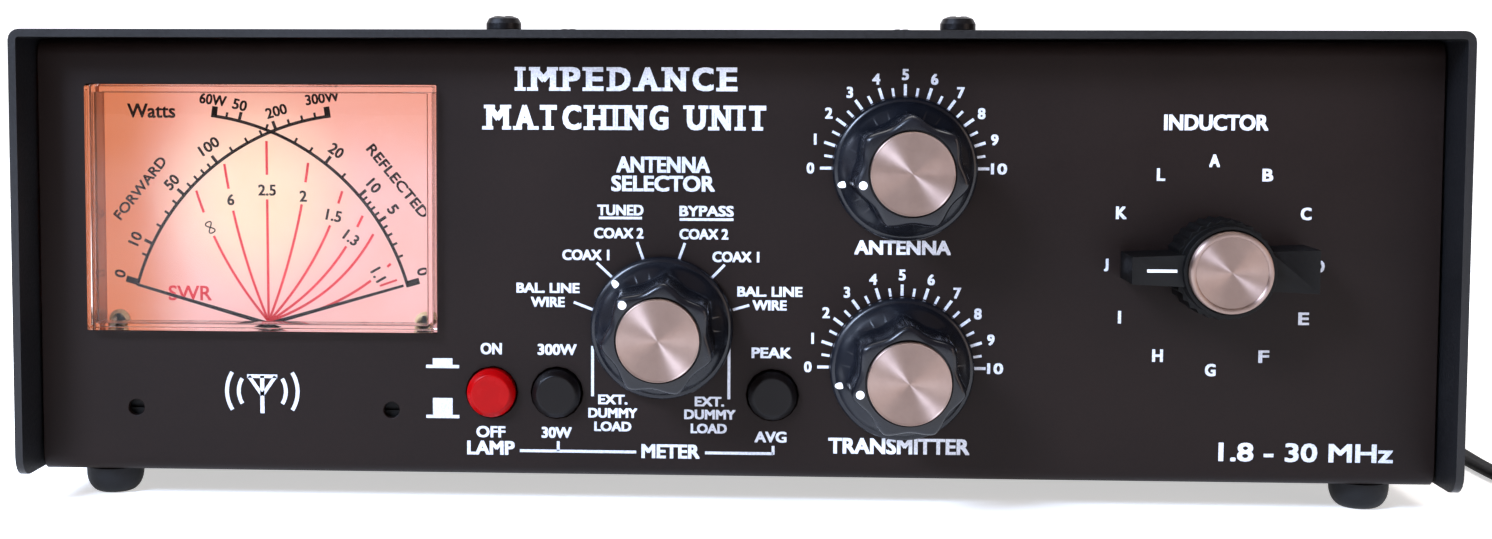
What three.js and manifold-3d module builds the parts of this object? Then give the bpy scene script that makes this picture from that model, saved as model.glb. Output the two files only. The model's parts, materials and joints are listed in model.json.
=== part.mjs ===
// A desktop antenna tuner for amateur radio: a folded chassis under a wrap-round cover, with a lit
// cross-needle meter, two variable capacitors, a tapped coil with its rotary switch, an antenna
// selector, three latching push buttons, rear sockets and posts, and a 12 V lamp lead.
// Millimetres, +Z up. The front panel faces -Y, and the origin is the middle of the footprint,
// on the table that the feet stand on.
import * as THREE from "three";
import { mergeVertices } from "three/addons/utils/BufferGeometryUtils.js";
import Module from "manifold-3d";

const wasm = await Module();
wasm.setup();

// ---------------------------------------------------------------- driving dimensions
const gap = 0.3; // between pieces that touch or run in one another

// Cover: one sheet folded over the top and both sides
const coverWidth = 270;
const coverDepth = 178;
const headroom = 8.9; // from the tallest piece inside to the top of the cover
const coverBottom = 5.9;
const coverSheet = 1.5;
const coverBend = 0.6; // inside radius
const coverCorner = 4; // rounded lower corners of the side walls

// Chassis: front panel, floor and rear panel folded from one sheet
const footHeight = 5.4;
const panelSetback = 10; // from each edge of the cover to the panel inside it
const chassisSheet = 1.5;
const chassisBend = 1.5;
const flangeDepth = 15;
const chassisSideGap = 0.5;

// Screws and feet
const screwShank = 1.7;
const screwHead = 3.4;
const screwHeadHeight = 2.6;
const screwLength = 8;
const screwX = 43.7;
const screwInset = 8; // behind each panel face
const footRadius = 5.55;
const footPatch = 2.8; // flat worn under the dome
const footX = 121.5;
const footInset = 8.5;

// Controls: places on the panel as [x, z]
const selectorAt = [-12.5, 34.6];
const antennaAt = [33.2, 65.1];
const transmitterAt = [33.0, 27.2];
const inductorAt = [90.95, 47.3];
const selectorPointing = 135.5; // degrees, from +X towards +Z
const capacitorPointing = 194;
const shaftRadius = 3.175;
const bushingRadius = 4.7;
const bushingReach = 3.9; // how far a bushing stands out of the panel
const nutAcross = 12.7;
const nutThickness = 2.3;

// Fluted knobs
const knobHeight = 19.2;
const knobSkirt = 13.6;
const knobLobes = 7;
const lobeTip = 10.6;
const lobeValley = 9.2;
const insertRadius = 7.55;
const insertProud = 1.1;
const insertSeat = 1.4; // how deep an insert sits in its knob
const shaftShort = 1; // from the end of a shaft to the seat of its knob's insert
const knobClear = 0.8; // from the panel to a knob

// Pointer knob
const pointerTip = 17.3;
const pointerTail = 16.5;
const pointerTipWidth = 5;
const pointerTailWidth = 8;
const pointerHeight = 12.6;
const pointerTeeth = 30;
const pointerRadius = 9.3;
const pointerToothDepth = 0.5;
const pointerCrown = 14.6;
const pointerInsert = 7.45;

// Push buttons and their switches
const buttonAt = { lamp: [-45.2, 21.7], range: [-32.65, 21.7], peak: [8.6, 21.7] };
const buttonRadius = 4.65;
const buttonFace = 3.6; // radius of the flat face
const buttonProud = 2.6;
const buttonSkirt = 3.5; // behind the panel face
const buttonStem = 3.4; // side of the square stem
const buttonStemEnd = 14;
const switchBody = 8;
const switchFront = 7;
const switchRear = 25;

// Meter
const meterX = -89.6;
const windowWidth = 67.1;
const windowBottom = 33.3;
const windowHeight = 47;
const windowWall = 1.2;
const windowProud = 2.5;
const windowBack = 6.6; // rear edge of its side walls, behind the panel face
const shelfBack = 4.5; // rear edge of its lower wall
const windowFlange = 1.2;
const caseWall = 1.5;
const caseSkirt = 11.5; // from the window down to the underside of the case's shallow front part
const caseOverBoard = 4.5; // from the meter board up to the case
const caseLowFront = 12.5;
const caseBack = 34;
const dialFace = 8.5; // behind the panel face
const dialSheet = 0.8;
const dialSkirt = 1.8; // dial below the window
const dialScrewInset = 3.2;
const dialScrewRise = 0.8;
const pivotInset = 15.95; // each needle's pivot from the near side of the window
const pivotDrop = 4.7; // pivots below the window
const needleShort = 6.1; // from a needle's highest reach to the top of the window
const needleSide = 4.35; // from its lowest reach to the side of the window
const needleRest = 16.2; // degrees above level at zero
const forwardPlane = 5.6;
const reflectedPlane = 7.0;
const needleSheet = 0.4;

// Meter board and its two trimmers, set through holes in the panel
const trimmerSpread = 24.95;
const trimmerZ = 18;
const trimmerHole = 1.55;
const boardUnder = 9.4;
const boardSheet = 1.6;
const boardFront = 3;
const boardBack = 70;
const boardHalf = 36.5;

// Variable capacitors
const plateSide = 34;
const plateSheet = 1.5;
const capacitorBack = 62;
const rotorRadius = 15.5;
const rotorPlates = 6;
const platePitch = 8;
const vane = 0.8; // thickness of a capacitor plate
const firstStator = 8;

// Rotary switches
const waferSheet = 2;
const selectorSwitchRadius = 15.5;
const inductorSwitchRadius = 20;

// Coil and balun
const coilRadius = 25.4;
const coilWall = 2;
const coilLength = 75;
const coilX = 90;
const coilFromRear = 53; // axis in front of the rear panel's outer face
const coilZ = 46;
const balunX = -92;
const balunOuter = 26;
const balunInner = 15;
const balunHeight = 14;

// Rear panel
const rearZ = 48;
const socketX = { transmitter: 84, coax_1: 48, coax_2: 12, dummy_load: -24 };
const socketFlange = 25.4;
const socketFlangeSheet = 2.5;
const socketBarrel = 7.95;
const socketReach = 16;
const socketMouth = 6.4;
const socketMouthDepth = 4.5;
const socketPinHole = 2;
const postX = { wire: -56, balanced_left: -84, balanced_right: -112 };
const groundAt = [118, 64];
const studRadius = 2.4;
const postReach = 18;
const jackAt = [118, 22];
const jackRadius = 4;
const plugBarrel = 2.75;
const plugBarrelLength = 9.5;
const plugHandle = 4.6;
const plugHandleLength = 24;
const plugTail = 13;

// Lamp lead: flat twin flex, and the coil that its spare length is wound into
const flexWidth = 4.6;
const flexThickness = 2.4;
const coilCentre = [198, -48];
const coilMiddle = 26;
const turnsAcross = 4;
const turnsUp = 2;
const turnPitch = 4.7;
const layPitch = 2.55;
const adapterSize = [42, 65, 30];
const adapterRelief = 18;
const adapterLead = 22; // from the coil's middle to the tip of the relief
const reliefRise = 4.6; // height of the relief's axis

// ---------------------------------------------------------------- places worked out from them
const windowTop = windowBottom + windowHeight;
const caseHalf = windowWidth / 2 + caseWall + gap;
const caseTop = windowTop + caseWall + gap;
const caseFoot = windowBottom - caseSkirt;
const caseLow = boardUnder + boardSheet + caseOverBoard;
const dialBottom = windowBottom - dialSkirt;
const dialScrewX = windowWidth / 2 - dialScrewInset;
const dialScrewZ = windowBottom + dialScrewRise;
const pivotSpread = windowWidth / 2 - pivotInset;
const pivotZ = windowBottom - pivotDrop;
const needleRoom = windowWidth - windowWall - pivotInset - needleSide;
const needleLength = Math.min(windowTop - needleShort - pivotZ, needleRoom);
const coverTop = Math.max(caseTop, antennaAt[1] + plateSide / 2) + headroom;
const rearDepth = coverDepth - 2 * panelSetback; // from the panel face to the rear panel's
const overallDepth = knobHeight + insertProud + rearDepth + postReach;
const panelY = knobHeight + insertProud - overallDepth / 2;
const rearY = panelY + rearDepth;
const ahead = (height) => panelY - height; // in front of the panel face
const behind = (depth) => panelY + depth; // behind it
const beyond = (reach) => rearY + reach; // out of the rear panel
const coilDepth = rearDepth - coilFromRear;
const balunDepth = (boardBack + rearDepth - chassisSheet) / 2;
const chassisHalf = coverWidth / 2 - coverSheet - chassisSideGap;
const chassisTop = coverTop - coverSheet - gap;
const floorZ = footHeight + chassisSheet;
const backOfPanel = chassisSheet + gap;

// ---------------------------------------------------------------- shapes
function flipped(triangles) {
  const turned = triangles.slice();
  for (let i = 0; i < turned.length; i += 3) {
    turned[i] = triangles[i + 1];
    turned[i + 1] = triangles[i];
  }
  return turned;
}

// A three.js geometry as a solid, with its doubled points merged and its faces outwards.
function solidOf(geometry) {
  const bare = geometry.index ? geometry.toNonIndexed() : geometry.clone();
  bare.deleteAttribute("normal");
  bare.deleteAttribute("uv");
  const merged = mergeVertices(bare, 1e-4);
  const index = merged.index.array;
  const kept = [];
  for (let i = 0; i < index.length; i += 3) {
    const [a, b, c] = [index[i], index[i + 1], index[i + 2]];
    if (a !== b && b !== c && c !== a) kept.push(a, b, c);
  }
  const build = (triVerts) =>
    new wasm.Manifold(
      new wasm.Mesh({ numProp: 3, vertProperties: merged.attributes.position.array, triVerts }),
    );
  const body = build(new Uint32Array(kept));
  return body.volume() < 0 ? build(new Uint32Array(flipped(kept))) : body;
}

function geometryOf(body) {
  const mesh = body.getMesh();
  const geometry = new THREE.BufferGeometry();
  geometry.setAttribute("position", new THREE.BufferAttribute(mesh.vertProperties, 3));
  geometry.setIndex(new THREE.BufferAttribute(mesh.triVerts, 1));
  geometry.computeVertexNormals();
  return geometry;
}

const joined = (bodies) => bodies.reduce((all, body) => all.add(body));
const cutBy = (body, tools) => body.subtract(joined(tools));

function block([x0, x1], [y0, y1], [z0, z1]) {
  const geometry = new THREE.BoxGeometry(x1 - x0, y1 - y0, z1 - z0);
  return solidOf(geometry.translate((x0 + x1) / 2, (y0 + y1) / 2, (z0 + z1) / 2));
}

const around = (middle, size) => [middle - size / 2, middle + size / 2];

function outline(points) {
  return new THREE.Shape(points.map(([u, v]) => new THREE.Vector2(u, v)));
}

// Prisms along an axis: the outline is [y, z], [x, z] and [x, y] in turn.
function prismX(points, x0, x1) {
  const geometry = new THREE.ExtrudeGeometry(outline(points), { depth: x1 - x0, bevelEnabled: false });
  const axes = new THREE.Matrix4().set(0, 0, 1, x0, 1, 0, 0, 0, 0, 1, 0, 0, 0, 0, 0, 1);
  return solidOf(geometry.applyMatrix4(axes));
}

function prismY(points, y0, y1, bevel = 0) {
  const geometry = new THREE.ExtrudeGeometry(outline(points), {
    depth: y1 - y0 - 2 * bevel,
    bevelEnabled: bevel > 0,
    bevelThickness: bevel,
    bevelSize: bevel,
    bevelOffset: -bevel,
    bevelSegments: 1,
  });
  const axes = new THREE.Matrix4().set(1, 0, 0, 0, 0, 0, -1, y1 - bevel, 0, 1, 0, 0, 0, 0, 0, 1);
  return solidOf(geometry.applyMatrix4(axes));
}

function prismZ(points, z0, z1) {
  const geometry = new THREE.ExtrudeGeometry(outline(points), { depth: z1 - z0, bevelEnabled: false });
  return solidOf(geometry.translate(0, 0, z0));
}

// Round pieces about an axis along Y through [x, z]: the profile is [radius, y].
function turned(profile, [x, z], sides = 24) {
  const points = profile.map(([radius, y]) => new THREE.Vector2(radius, y));
  return solidOf(new THREE.LatheGeometry(points, sides).translate(x, 0, z));
}

// Round pieces about an upright axis through [x, y]: the profile is [radius, z].
function upright(profile, [x, y], sides = 24) {
  const points = profile.map(([radius, z]) => new THREE.Vector2(radius, z));
  return solidOf(new THREE.LatheGeometry(points, sides).rotateX(Math.PI / 2).translate(x, y, 0));
}

const rodY = (radius, y0, y1, at, sides = 16) =>
  turned([[0, y0], [radius, y0], [radius, y1], [0, y1]], at, sides);
const rodZ = (radius, z0, z1, at, sides = 16) =>
  upright([[0, z0], [radius, z0], [radius, z1], [0, z1]], at, sides);

const circle = (radius, count, start = 0) =>
  Array.from({ length: count }, (_, i) => {
    const angle = start + (2 * Math.PI * i) / count;
    return [radius * Math.cos(angle), radius * Math.sin(angle)];
  });

const moved = (points, [u, v]) => points.map(([a, b]) => [a + u, b + v]);

// The outline of a folded sheet: the path along its middle with every corner rounded, given its
// thickness to both sides.
function bentSheet(path, thickness, insideRadius, steps = 4) {
  const radius = insideRadius + thickness / 2;
  const middle = [];
  path.forEach((point, i) => {
    const here = new THREE.Vector2(...point);
    if (i === 0 || i === path.length - 1) {
      const other = new THREE.Vector2(...path[i === 0 ? 1 : i - 1]);
      const along = i === 0 ? other.sub(here) : here.clone().sub(other);
      middle.push([here, along.normalize()]);
      return;
    }
    const before = here.clone().sub(new THREE.Vector2(...path[i - 1])).normalize();
    const after = new THREE.Vector2(...path[i + 1]).sub(here).normalize();
    const turn = Math.sign(before.cross(after));
    const side = (direction) => new THREE.Vector2(-direction.y, direction.x).multiplyScalar(turn);
    const centre = here
      .clone()
      .addScaledVector(before, -radius)
      .addScaledVector(side(before), radius);
    for (let k = 0; k <= steps; k += 1) {
      const angle = (turn * (Math.PI / 2) * k) / steps;
      const along = before.clone().rotateAround(new THREE.Vector2(), angle);
      middle.push([centre.clone().addScaledVector(side(along), -radius), along]);
    }
  });
  const offset = (sign) =>
    middle.map(([at, along]) => [
      at.x - (sign * along.y * thickness) / 2,
      at.y + (sign * along.x * thickness) / 2,
    ]);
  return [...offset(1), ...offset(-1).reverse()];
}

// ---------------------------------------------------------------- finishes
const finish = (color, roughness, metalness, more = {}) => ({ color, roughness, metalness, ...more });
const blackPaint = finish(0x1d1c1d, 0.55, 0.1);
const panelPaint = finish(0x232022, 0.5, 0.1);
const zincSteel = finish(0xb9bcc0, 0.35, 0.9);
const blackSteel = finish(0x17171a, 0.4, 0.5);
const blackRubber = finish(0x141416, 0.8, 0);
const clearPlastic = finish(0xf2ece6, 0.08, 0, { transparent: true, opacity: 0.35 });
const blackPlastic = finish(0x111114, 0.25, 0);
const mattPlastic = finish(0x19191b, 0.6, 0);
const redPlastic = finish(0xb50a12, 0.25, 0);
const brushedAluminium = finish(0xc7b3a6, 0.3, 0.9);
const aluminium = finish(0xc3c6c8, 0.4, 0.9);
const dialCard = finish(0xffd9c0, 0.6, 0);
const brassFinish = finish(0xb8a06a, 0.35, 0.9);
const ceramic = finish(0xe8e4da, 0.4, 0);
const copper = finish(0xb87a4b, 0.3, 0.9);
const ferrite = finish(0x6c4a3a, 0.7, 0);
const boardGreen = finish(0x2e5a3a, 0.5, 0);
const lampGlass = finish(0xffe6b0, 0.2, 0);
const acrylic = finish(0xdfe5e6, 0.15, 0);
const nickel = finish(0xc9c8c2, 0.25, 1);

const tuner = new THREE.Group();
tuner.name = "antenna_tuner";

function piece(name, body, look) {
  const mesh = new THREE.Mesh(geometryOf(body), new THREE.MeshStandardMaterial(look));
  mesh.name = name;
  tuner.add(mesh);
}

// ---------------------------------------------------------------- chassis, cover, screws, feet
const panelHoles = [
  ...[selectorAt, antennaAt, transmitterAt, inductorAt].map((at) => [at, bushingRadius + gap]),
  ...Object.values(buttonAt).map((at) => [at, buttonRadius + gap]),
  ...[-1, 1].map((side) => [[meterX + side * trimmerSpread, trimmerZ], trimmerHole]),
];
const rearHoles = [
  ...Object.values(socketX).map((x) => [[x, rearZ], socketBarrel]),
  ...Object.values(postX).map((x) => [[x, rearZ], 2 * studRadius]),
  [groundAt, studRadius + gap],
  [jackAt, jackRadius + gap],
];
const screwPlaces = [-1, 1].flatMap((side) => [
  [side * screwX, behind(screwInset)],
  [side * screwX, rearY - screwInset],
]);
const standoffs = [
  [meterX - boardHalf + 5, behind(14)],
  [meterX + boardHalf - 5, behind(14)],
  [meterX - boardHalf + 5, behind(boardBack - 5)],
  [meterX + boardHalf - 5, behind(boardBack - 5)],
];

function chassis() {
  const half = chassisSheet / 2;
  const [front, rear, low, high] = [panelY + half, rearY - half, footHeight + half, chassisTop - half];
  const path = [
    [panelY + flangeDepth, high],
    [front, high],
    [front, low],
    [rear, low],
    [rear, high],
    [rearY - flangeDepth, high],
  ];
  const sheet = prismX(bentSheet(path, chassisSheet, chassisBend), -chassisHalf, chassisHalf);
  const past = 1;
  const window = block(
    around(meterX, windowWidth + 2 * gap),
    [panelY - past, behind(chassisSheet + past)],
    [windowBottom - gap, windowTop + gap],
  );
  const cuts = [
    window,
    ...panelHoles.map(([at, r]) => rodY(r, panelY - past, behind(chassisSheet + past), at)),
    ...rearHoles.map(([at, r]) => rodY(r, rearY - chassisSheet - past, rearY + past, at)),
    ...screwPlaces.map((at) => rodZ(screwShank + gap, chassisTop - 3, chassisTop + past, at, 12)),
  ];
  const pillars = standoffs.map((at) => rodZ(2.5, floorZ - half, boardUnder - gap, at, 8));
  return joined([cutBy(sheet, cuts), ...pillars]);
}

function cover() {
  const half = coverSheet / 2;
  const side = coverWidth / 2 - half;
  const front = panelY - panelSetback;
  const rear = rearY + panelSetback;
  const path = [
    [-side, coverBottom],
    [-side, coverTop - half],
    [side, coverTop - half],
    [side, coverBottom],
  ];
  const sheet = prismY(bentSheet(path, coverSheet, coverBend), front, rear);
  const past = 1;
  const corner = (edge, inwards) => {
    const rounding = Array.from({ length: 6 }, (_, i) => {
      const angle = ((Math.PI / 2) * i) / 5;
      return [
        edge + inwards * coverCorner * (1 - Math.sin(angle)),
        coverBottom + coverCorner * (1 - Math.cos(angle)),
      ];
    });
    const outside = [
      [edge - inwards * past, coverBottom + coverCorner],
      [edge - inwards * past, coverBottom - past],
      [edge + inwards * coverCorner, coverBottom - past],
    ];
    return prismX([...rounding, ...outside], -coverWidth / 2 - past, coverWidth / 2 + past);
  };
  const holes = screwPlaces.map((at) => rodZ(screwShank + gap, coverTop - 3, coverTop + past, at, 12));
  return cutBy(sheet, [corner(front, 1), corner(rear, -1), ...holes]);
}

function coverScrew(at) {
  const seat = coverTop + gap;
  const top = seat + screwHeadHeight;
  const head = upright(
    [
      [0, seat - screwLength],
      [screwShank, seat - screwLength],
      [screwShank, seat],
      [screwHead, seat],
      [screwHead, seat + screwHeadHeight * 0.45],
      [screwHead * 0.85, seat + screwHeadHeight * 0.82],
      [screwHead * 0.5, top],
      [0, top],
    ],
    at,
    16,
  );
  const arm = screwHead * 1.1;
  const slot = screwHead * 0.26;
  const deep = [top - 1.3, top + 1];
  return cutBy(head, [
    block(around(at[0], arm), around(at[1], slot), deep),
    block(around(at[0], slot), around(at[1], arm), deep),
  ]);
}

function foot(at) {
  const top = footHeight - gap;
  const dome = Array.from({ length: 5 }, (_, i) => {
    const angle = ((Math.PI / 2) * i) / 4;
    return [
      footPatch + (footRadius - footPatch) * Math.sin(angle),
      (top - 1) * (1 - Math.cos(angle)),
    ];
  });
  return upright([[0, 0], ...dome, [footRadius, top], [0, top]], at, 16);
}

piece("chassis", chassis(), panelPaint);
piece("cover", cover(), blackPaint);
[
  ["front_left", -1, behind(screwInset)],
  ["front_right", 1, behind(screwInset)],
  ["rear_left", -1, rearY - screwInset],
  ["rear_right", 1, rearY - screwInset],
].forEach(([place, side, y]) => piece(`cover_screw_${place}`, coverScrew([side * screwX, y]), blackSteel));
[
  ["front_left", -1, behind(footInset)],
  ["front_right", 1, behind(footInset)],
  ["rear_left", -1, rearY - footInset],
  ["rear_right", 1, rearY - footInset],
].forEach(([place, side, y]) => piece(`foot_${place}`, foot([side * footX, y]), blackRubber));

// ---------------------------------------------------------------- meter
const caseFront = backOfPanel + windowFlange + gap;

function meterWindow() {
  const outer = windowWidth / 2;
  const inner = outer - windowWall;
  const frame = cutBy(
    block(around(meterX, 2 * outer), [ahead(windowProud), behind(windowBack)], [windowBottom, windowTop]),
    [
      block(
        around(meterX, 2 * inner),
        [ahead(windowProud) + windowWall, behind(windowBack + 1)],
        [windowBottom + windowWall, windowTop - windowWall],
      ),
      block(
        around(meterX, 2 * inner),
        [behind(shelfBack), behind(windowBack + 1)],
        [windowBottom - 1, windowBottom + 2 * windowWall],
      ),
    ],
  );
  const flange = cutBy(
    block(
      around(meterX, 2 * caseHalf),
      [behind(backOfPanel), behind(backOfPanel + windowFlange)],
      [caseFoot, caseTop],
    ),
    [
      block(
        around(meterX, 2 * inner),
        [behind(0), behind(backOfPanel + windowFlange + 1)],
        [windowBottom + windowWall, windowTop - windowWall],
      ),
    ],
  );
  return frame.add(flange);
}

function meterCase() {
  const shell = (inset) =>
    joined([
      block(
        around(meterX, 2 * (caseHalf - inset)),
        [behind(caseFront - (inset && 1)), behind(caseBack - inset)],
        [caseFoot + inset, caseTop - inset],
      ),
      block(
        around(meterX, 2 * (caseHalf - inset)),
        [behind(caseLowFront + inset), behind(caseBack - inset)],
        [caseLow + inset, caseTop - inset],
      ),
    ]);
  const bosses = [-1, 1].map((side) => {
    const at = [meterX + side * dialScrewX, dialScrewZ];
    const front = dialFace + dialSheet + gap;
    return cutBy(rodY(2.6, behind(front), behind(caseBack - 1), at, 12), [
      rodY(1.2 + gap, behind(front - 1), behind(front + 7), at, 10),
    ]);
  });
  return joined([cutBy(shell(0), [shell(caseWall)]), ...bosses]);
}

function meterDial() {
  const half = caseHalf - caseWall - gap;
  const card = block(
    around(meterX, 2 * half),
    [behind(dialFace), behind(dialFace + dialSheet)],
    [dialBottom, caseTop - caseWall - gap],
  );
  const holes = [-1, 1].map((side) =>
    rodY(1.2 + gap, behind(dialFace - 1), behind(dialFace + 2), [meterX + side * dialScrewX, dialScrewZ], 10),
  );
  return cutBy(card, holes);
}

function dialScrew(side) {
  const at = [meterX + side * dialScrewX, dialScrewZ];
  const seat = behind(dialFace - gap);
  const screw = turned(
    [
      [0, seat - 1.2],
      [1.5, seat - 1.2],
      [2.1, seat - 0.6],
      [2.1, seat],
      [1.2, seat],
      [1.2, seat + 6],
      [0, seat + 6],
    ],
    at,
    14,
  );
  return cutBy(screw, [
    block(around(at[0], 2.6), [seat - 2, seat - 0.7], around(at[1], 0.5)),
    block(around(at[0], 0.5), [seat - 2, seat - 0.7], around(at[1], 2.6)),
  ]);
}

function meterMovement() {
  const [front, back] = [behind(caseLowFront + caseWall + gap), behind(31)];
  const magnets = [-1, 1].map((side) => rodY(8.5, front, back, [meterX + side * pivotSpread, pivotZ], 20));
  const yoke = block(around(meterX, 2 * pivotSpread), [front + 1, back - 1], around(pivotZ, 9));
  return joined([...magnets, yoke]);
}

// A needle on its staff: side is +1 for the pivot on the right, whose pointer rests to the left.
function needle(side, plane) {
  const at = [meterX + side * pivotSpread, pivotZ];
  const rest = THREE.MathUtils.degToRad(needleRest);
  const along = [-side * Math.cos(rest), Math.sin(rest)];
  const across = [-along[1], along[0]];
  const bar = (from, to, startWidth, endWidth) =>
    [
      [from, -startWidth / 2],
      [to, -endWidth / 2],
      [to, endWidth / 2],
      [from, startWidth / 2],
    ].map(([u, v]) => [at[0] + along[0] * u + across[0] * v, at[1] + along[1] * u + across[1] * v]);
  const front = behind(plane);
  const ordered = (points) => (side > 0 ? points : points.slice().reverse());
  return joined([
    prismY(ordered(bar(0, needleLength, 0.9, 0.5)), front, front + needleSheet),
    prismY(ordered(bar(-4.4, 0, 1.8, 1.6)), front, front + needleSheet),
    rodY(1.8, front - 0.3, front + needleSheet + 0.3, at, 14),
    rodY(0.75, front, behind(caseLowFront + caseWall), at, 8),
  ]);
}

function meterLamp() {
  const at = [meterX + 2, 58];
  const socketBack = behind(caseBack - caseWall - gap);
  return turned(
    [
      [0, behind(14)],
      [1.8, behind(14.6)],
      [2.9, behind(17)],
      [2.9, behind(24)],
      [4.2, behind(24)],
      [4.2, socketBack],
      [0, socketBack],
    ],
    at,
    16,
  );
}

const trimmerBody = [4.2, 8.8]; // front and back, behind the panel face
const trimmerSize = 9.6;

function meterBoard() {
  const top = boardUnder + boardSheet;
  const card = block(
    around(meterX, 2 * boardHalf),
    [behind(boardFront), behind(boardBack)],
    [boardUnder, top],
  );
  const trimmers = [-1, 1].map((side) => {
    const x = meterX + side * trimmerSpread;
    const body = block(
      around(x, trimmerSize),
      [behind(trimmerBody[0]), behind(trimmerBody[1])],
      [top - 0.2, top + trimmerSize],
    );
    return cutBy(body, [rodY(1.2 + gap, behind(trimmerBody[0] - 1), behind(7.6), [x, trimmerZ], 12)]);
  });
  const core = [meterX, behind(52)];
  const bridge = upright(
    [
      [3.5, top - 0.2],
      [8, top - 0.2],
      [8, top + 6],
      [3.5, top + 6],
      [3.5, top - 0.2],
    ],
    core,
    20,
  );
  const chips = [-22, -12, 12, 22].map((x) =>
    block(around(meterX + x, 6), [behind(46), behind(58)], [top - 0.2, top + 2.5]),
  );
  return joined([card, ...trimmers, bridge, ...chips]);
}

function trimmer(side) {
  const at = [meterX + side * trimmerSpread, trimmerZ];
  const front = backOfPanel + 0.1;
  const rotor = joined([
    rodY(2.9, behind(front), behind(trimmerBody[0] - gap), at, 16),
    rodY(1.2, behind(front + 0.5), behind(7.2), at, 12),
  ]);
  return cutBy(rotor, [
    block(around(at[0], 4.4), [behind(front - 1), behind(front + 0.9)], around(at[1], 0.7)),
  ]);
}

piece("meter_window", meterWindow(), clearPlastic);
piece("meter_case", meterCase(), blackPlastic);
piece("meter_dial", meterDial(), dialCard);
piece("dial_screw_left", dialScrew(-1), brassFinish);
piece("dial_screw_right", dialScrew(1), brassFinish);
piece("meter_movement", meterMovement(), zincSteel);
piece("forward_needle", needle(1, forwardPlane), mattPlastic);
piece("reflected_needle", needle(-1, reflectedPlane), mattPlastic);
piece("meter_lamp", meterLamp(), lampGlass);
piece("meter_board", meterBoard(), boardGreen);
piece("forward_trimmer", trimmer(-1), ceramic);
piece("reflected_trimmer", trimmer(1), ceramic);

// ---------------------------------------------------------------- push buttons
function buttonSwitch([x, z]) {
  const body = block(around(x, switchBody), [behind(switchFront), behind(switchRear)], around(z, switchBody));
  const side = buttonStem + 2 * gap;
  return cutBy(body, [
    block(around(x, side), [behind(switchFront - 1), behind(buttonStemEnd + 5)], around(z, side)),
  ]);
}

function button([x, z]) {
  const cap = turned(
    [
      [0, ahead(buttonProud)],
      [buttonFace, ahead(buttonProud)],
      [buttonRadius - 0.15, ahead(buttonProud - 0.9)],
      [buttonRadius, ahead(buttonProud - 1.2)],
      [buttonRadius, behind(buttonSkirt)],
      [0, behind(buttonSkirt)],
    ],
    [x, z],
  );
  return cap.add(
    block(around(x, buttonStem), [behind(buttonSkirt - 0.5), behind(buttonStemEnd)], around(z, buttonStem)),
  );
}

Object.entries(buttonAt).forEach(([name, at]) => {
  piece(`${name}_switch`, buttonSwitch(at), mattPlastic);
  piece(`${name}_button`, button(at), name === "lamp" ? redPlastic : blackPlastic);
});

// ---------------------------------------------------------------- rotary controls
const boreFor = (at, back) => rodY(shaftRadius + gap, ahead(bushingReach + 1), behind(back), at);

// A bushing through the panel with its nut in front, to which a switch or capacitor is built.
function bushing(at) {
  const nut = moved(circle(nutAcross / Math.sqrt(3), 6, Math.PI / 6), at);
  return joined([
    rodY(bushingRadius, ahead(bushingReach), behind(backOfPanel + 1), at, 20),
    prismY(nut, ahead(gap + nutThickness), ahead(gap)),
  ]);
}

function rotarySwitch(at, radius) {
  const wafers = [16, 27].map((depth) => rodY(radius, behind(depth), behind(depth + waferSheet), at, 24));
  const ties = [-1, 1].map((side) =>
    rodY(1.4, behind(8), behind(34), [at[0] + side * (radius - 3), at[1]], 8),
  );
  const housing = rodY(radius * 0.92, behind(backOfPanel), behind(9), at, 24);
  return cutBy(joined([bushing(at), housing, ...wafers, ...ties]), [boreFor(at, 40)]);
}

const shaftEnd = (height) => ahead(height - insertSeat - shaftShort);
const plainShaft = (at, height, back) => rodY(shaftRadius, shaftEnd(height), behind(back), at, 16);

function lobedOutline(at, pointing) {
  const perLobe = 6;
  const count = knobLobes * perLobe;
  const start = THREE.MathUtils.degToRad(pointing);
  return Array.from({ length: count }, (_, i) => {
    const angle = start + (2 * Math.PI * i) / count;
    const swell = 1 - Math.abs(Math.sin((knobLobes * (angle - start)) / 2)) ** 1.4;
    const radius = lobeValley + (lobeTip - lobeValley) * swell;
    return [at[0] + radius * Math.cos(angle), at[1] + radius * Math.sin(angle)];
  });
}

// Inside every knob: the hollow for bushing and nut, the shaft's bore and the seat of the insert.
function knobHollows(at, height, hollow, seat) {
  return [
    rodY(hollow, ahead(bushingReach + 0.6), ahead(0), at, 20),
    rodY(shaftRadius + gap, shaftEnd(height) - gap, ahead(0), at),
    rodY(seat + gap, ahead(height + 1), ahead(height - insertSeat), at, 32),
  ];
}

function flutedKnob(at, pointing) {
  const skirt = turned(
    [
      [0, ahead(knobClear)],
      [knobSkirt, ahead(knobClear)],
      [knobSkirt, ahead(2.1)],
      [knobSkirt - 0.8, ahead(3.2)],
      [lobeTip + 0.4, ahead(5.2)],
      [0, ahead(5.2)],
    ],
    at,
    32,
  );
  const body = prismY(lobedOutline(at, pointing), ahead(knobHeight), ahead(3.6), 0.6);
  return cutBy(skirt.add(body), knobHollows(at, knobHeight, nutAcross / Math.sqrt(3) + 0.8, insertRadius));
}

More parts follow.
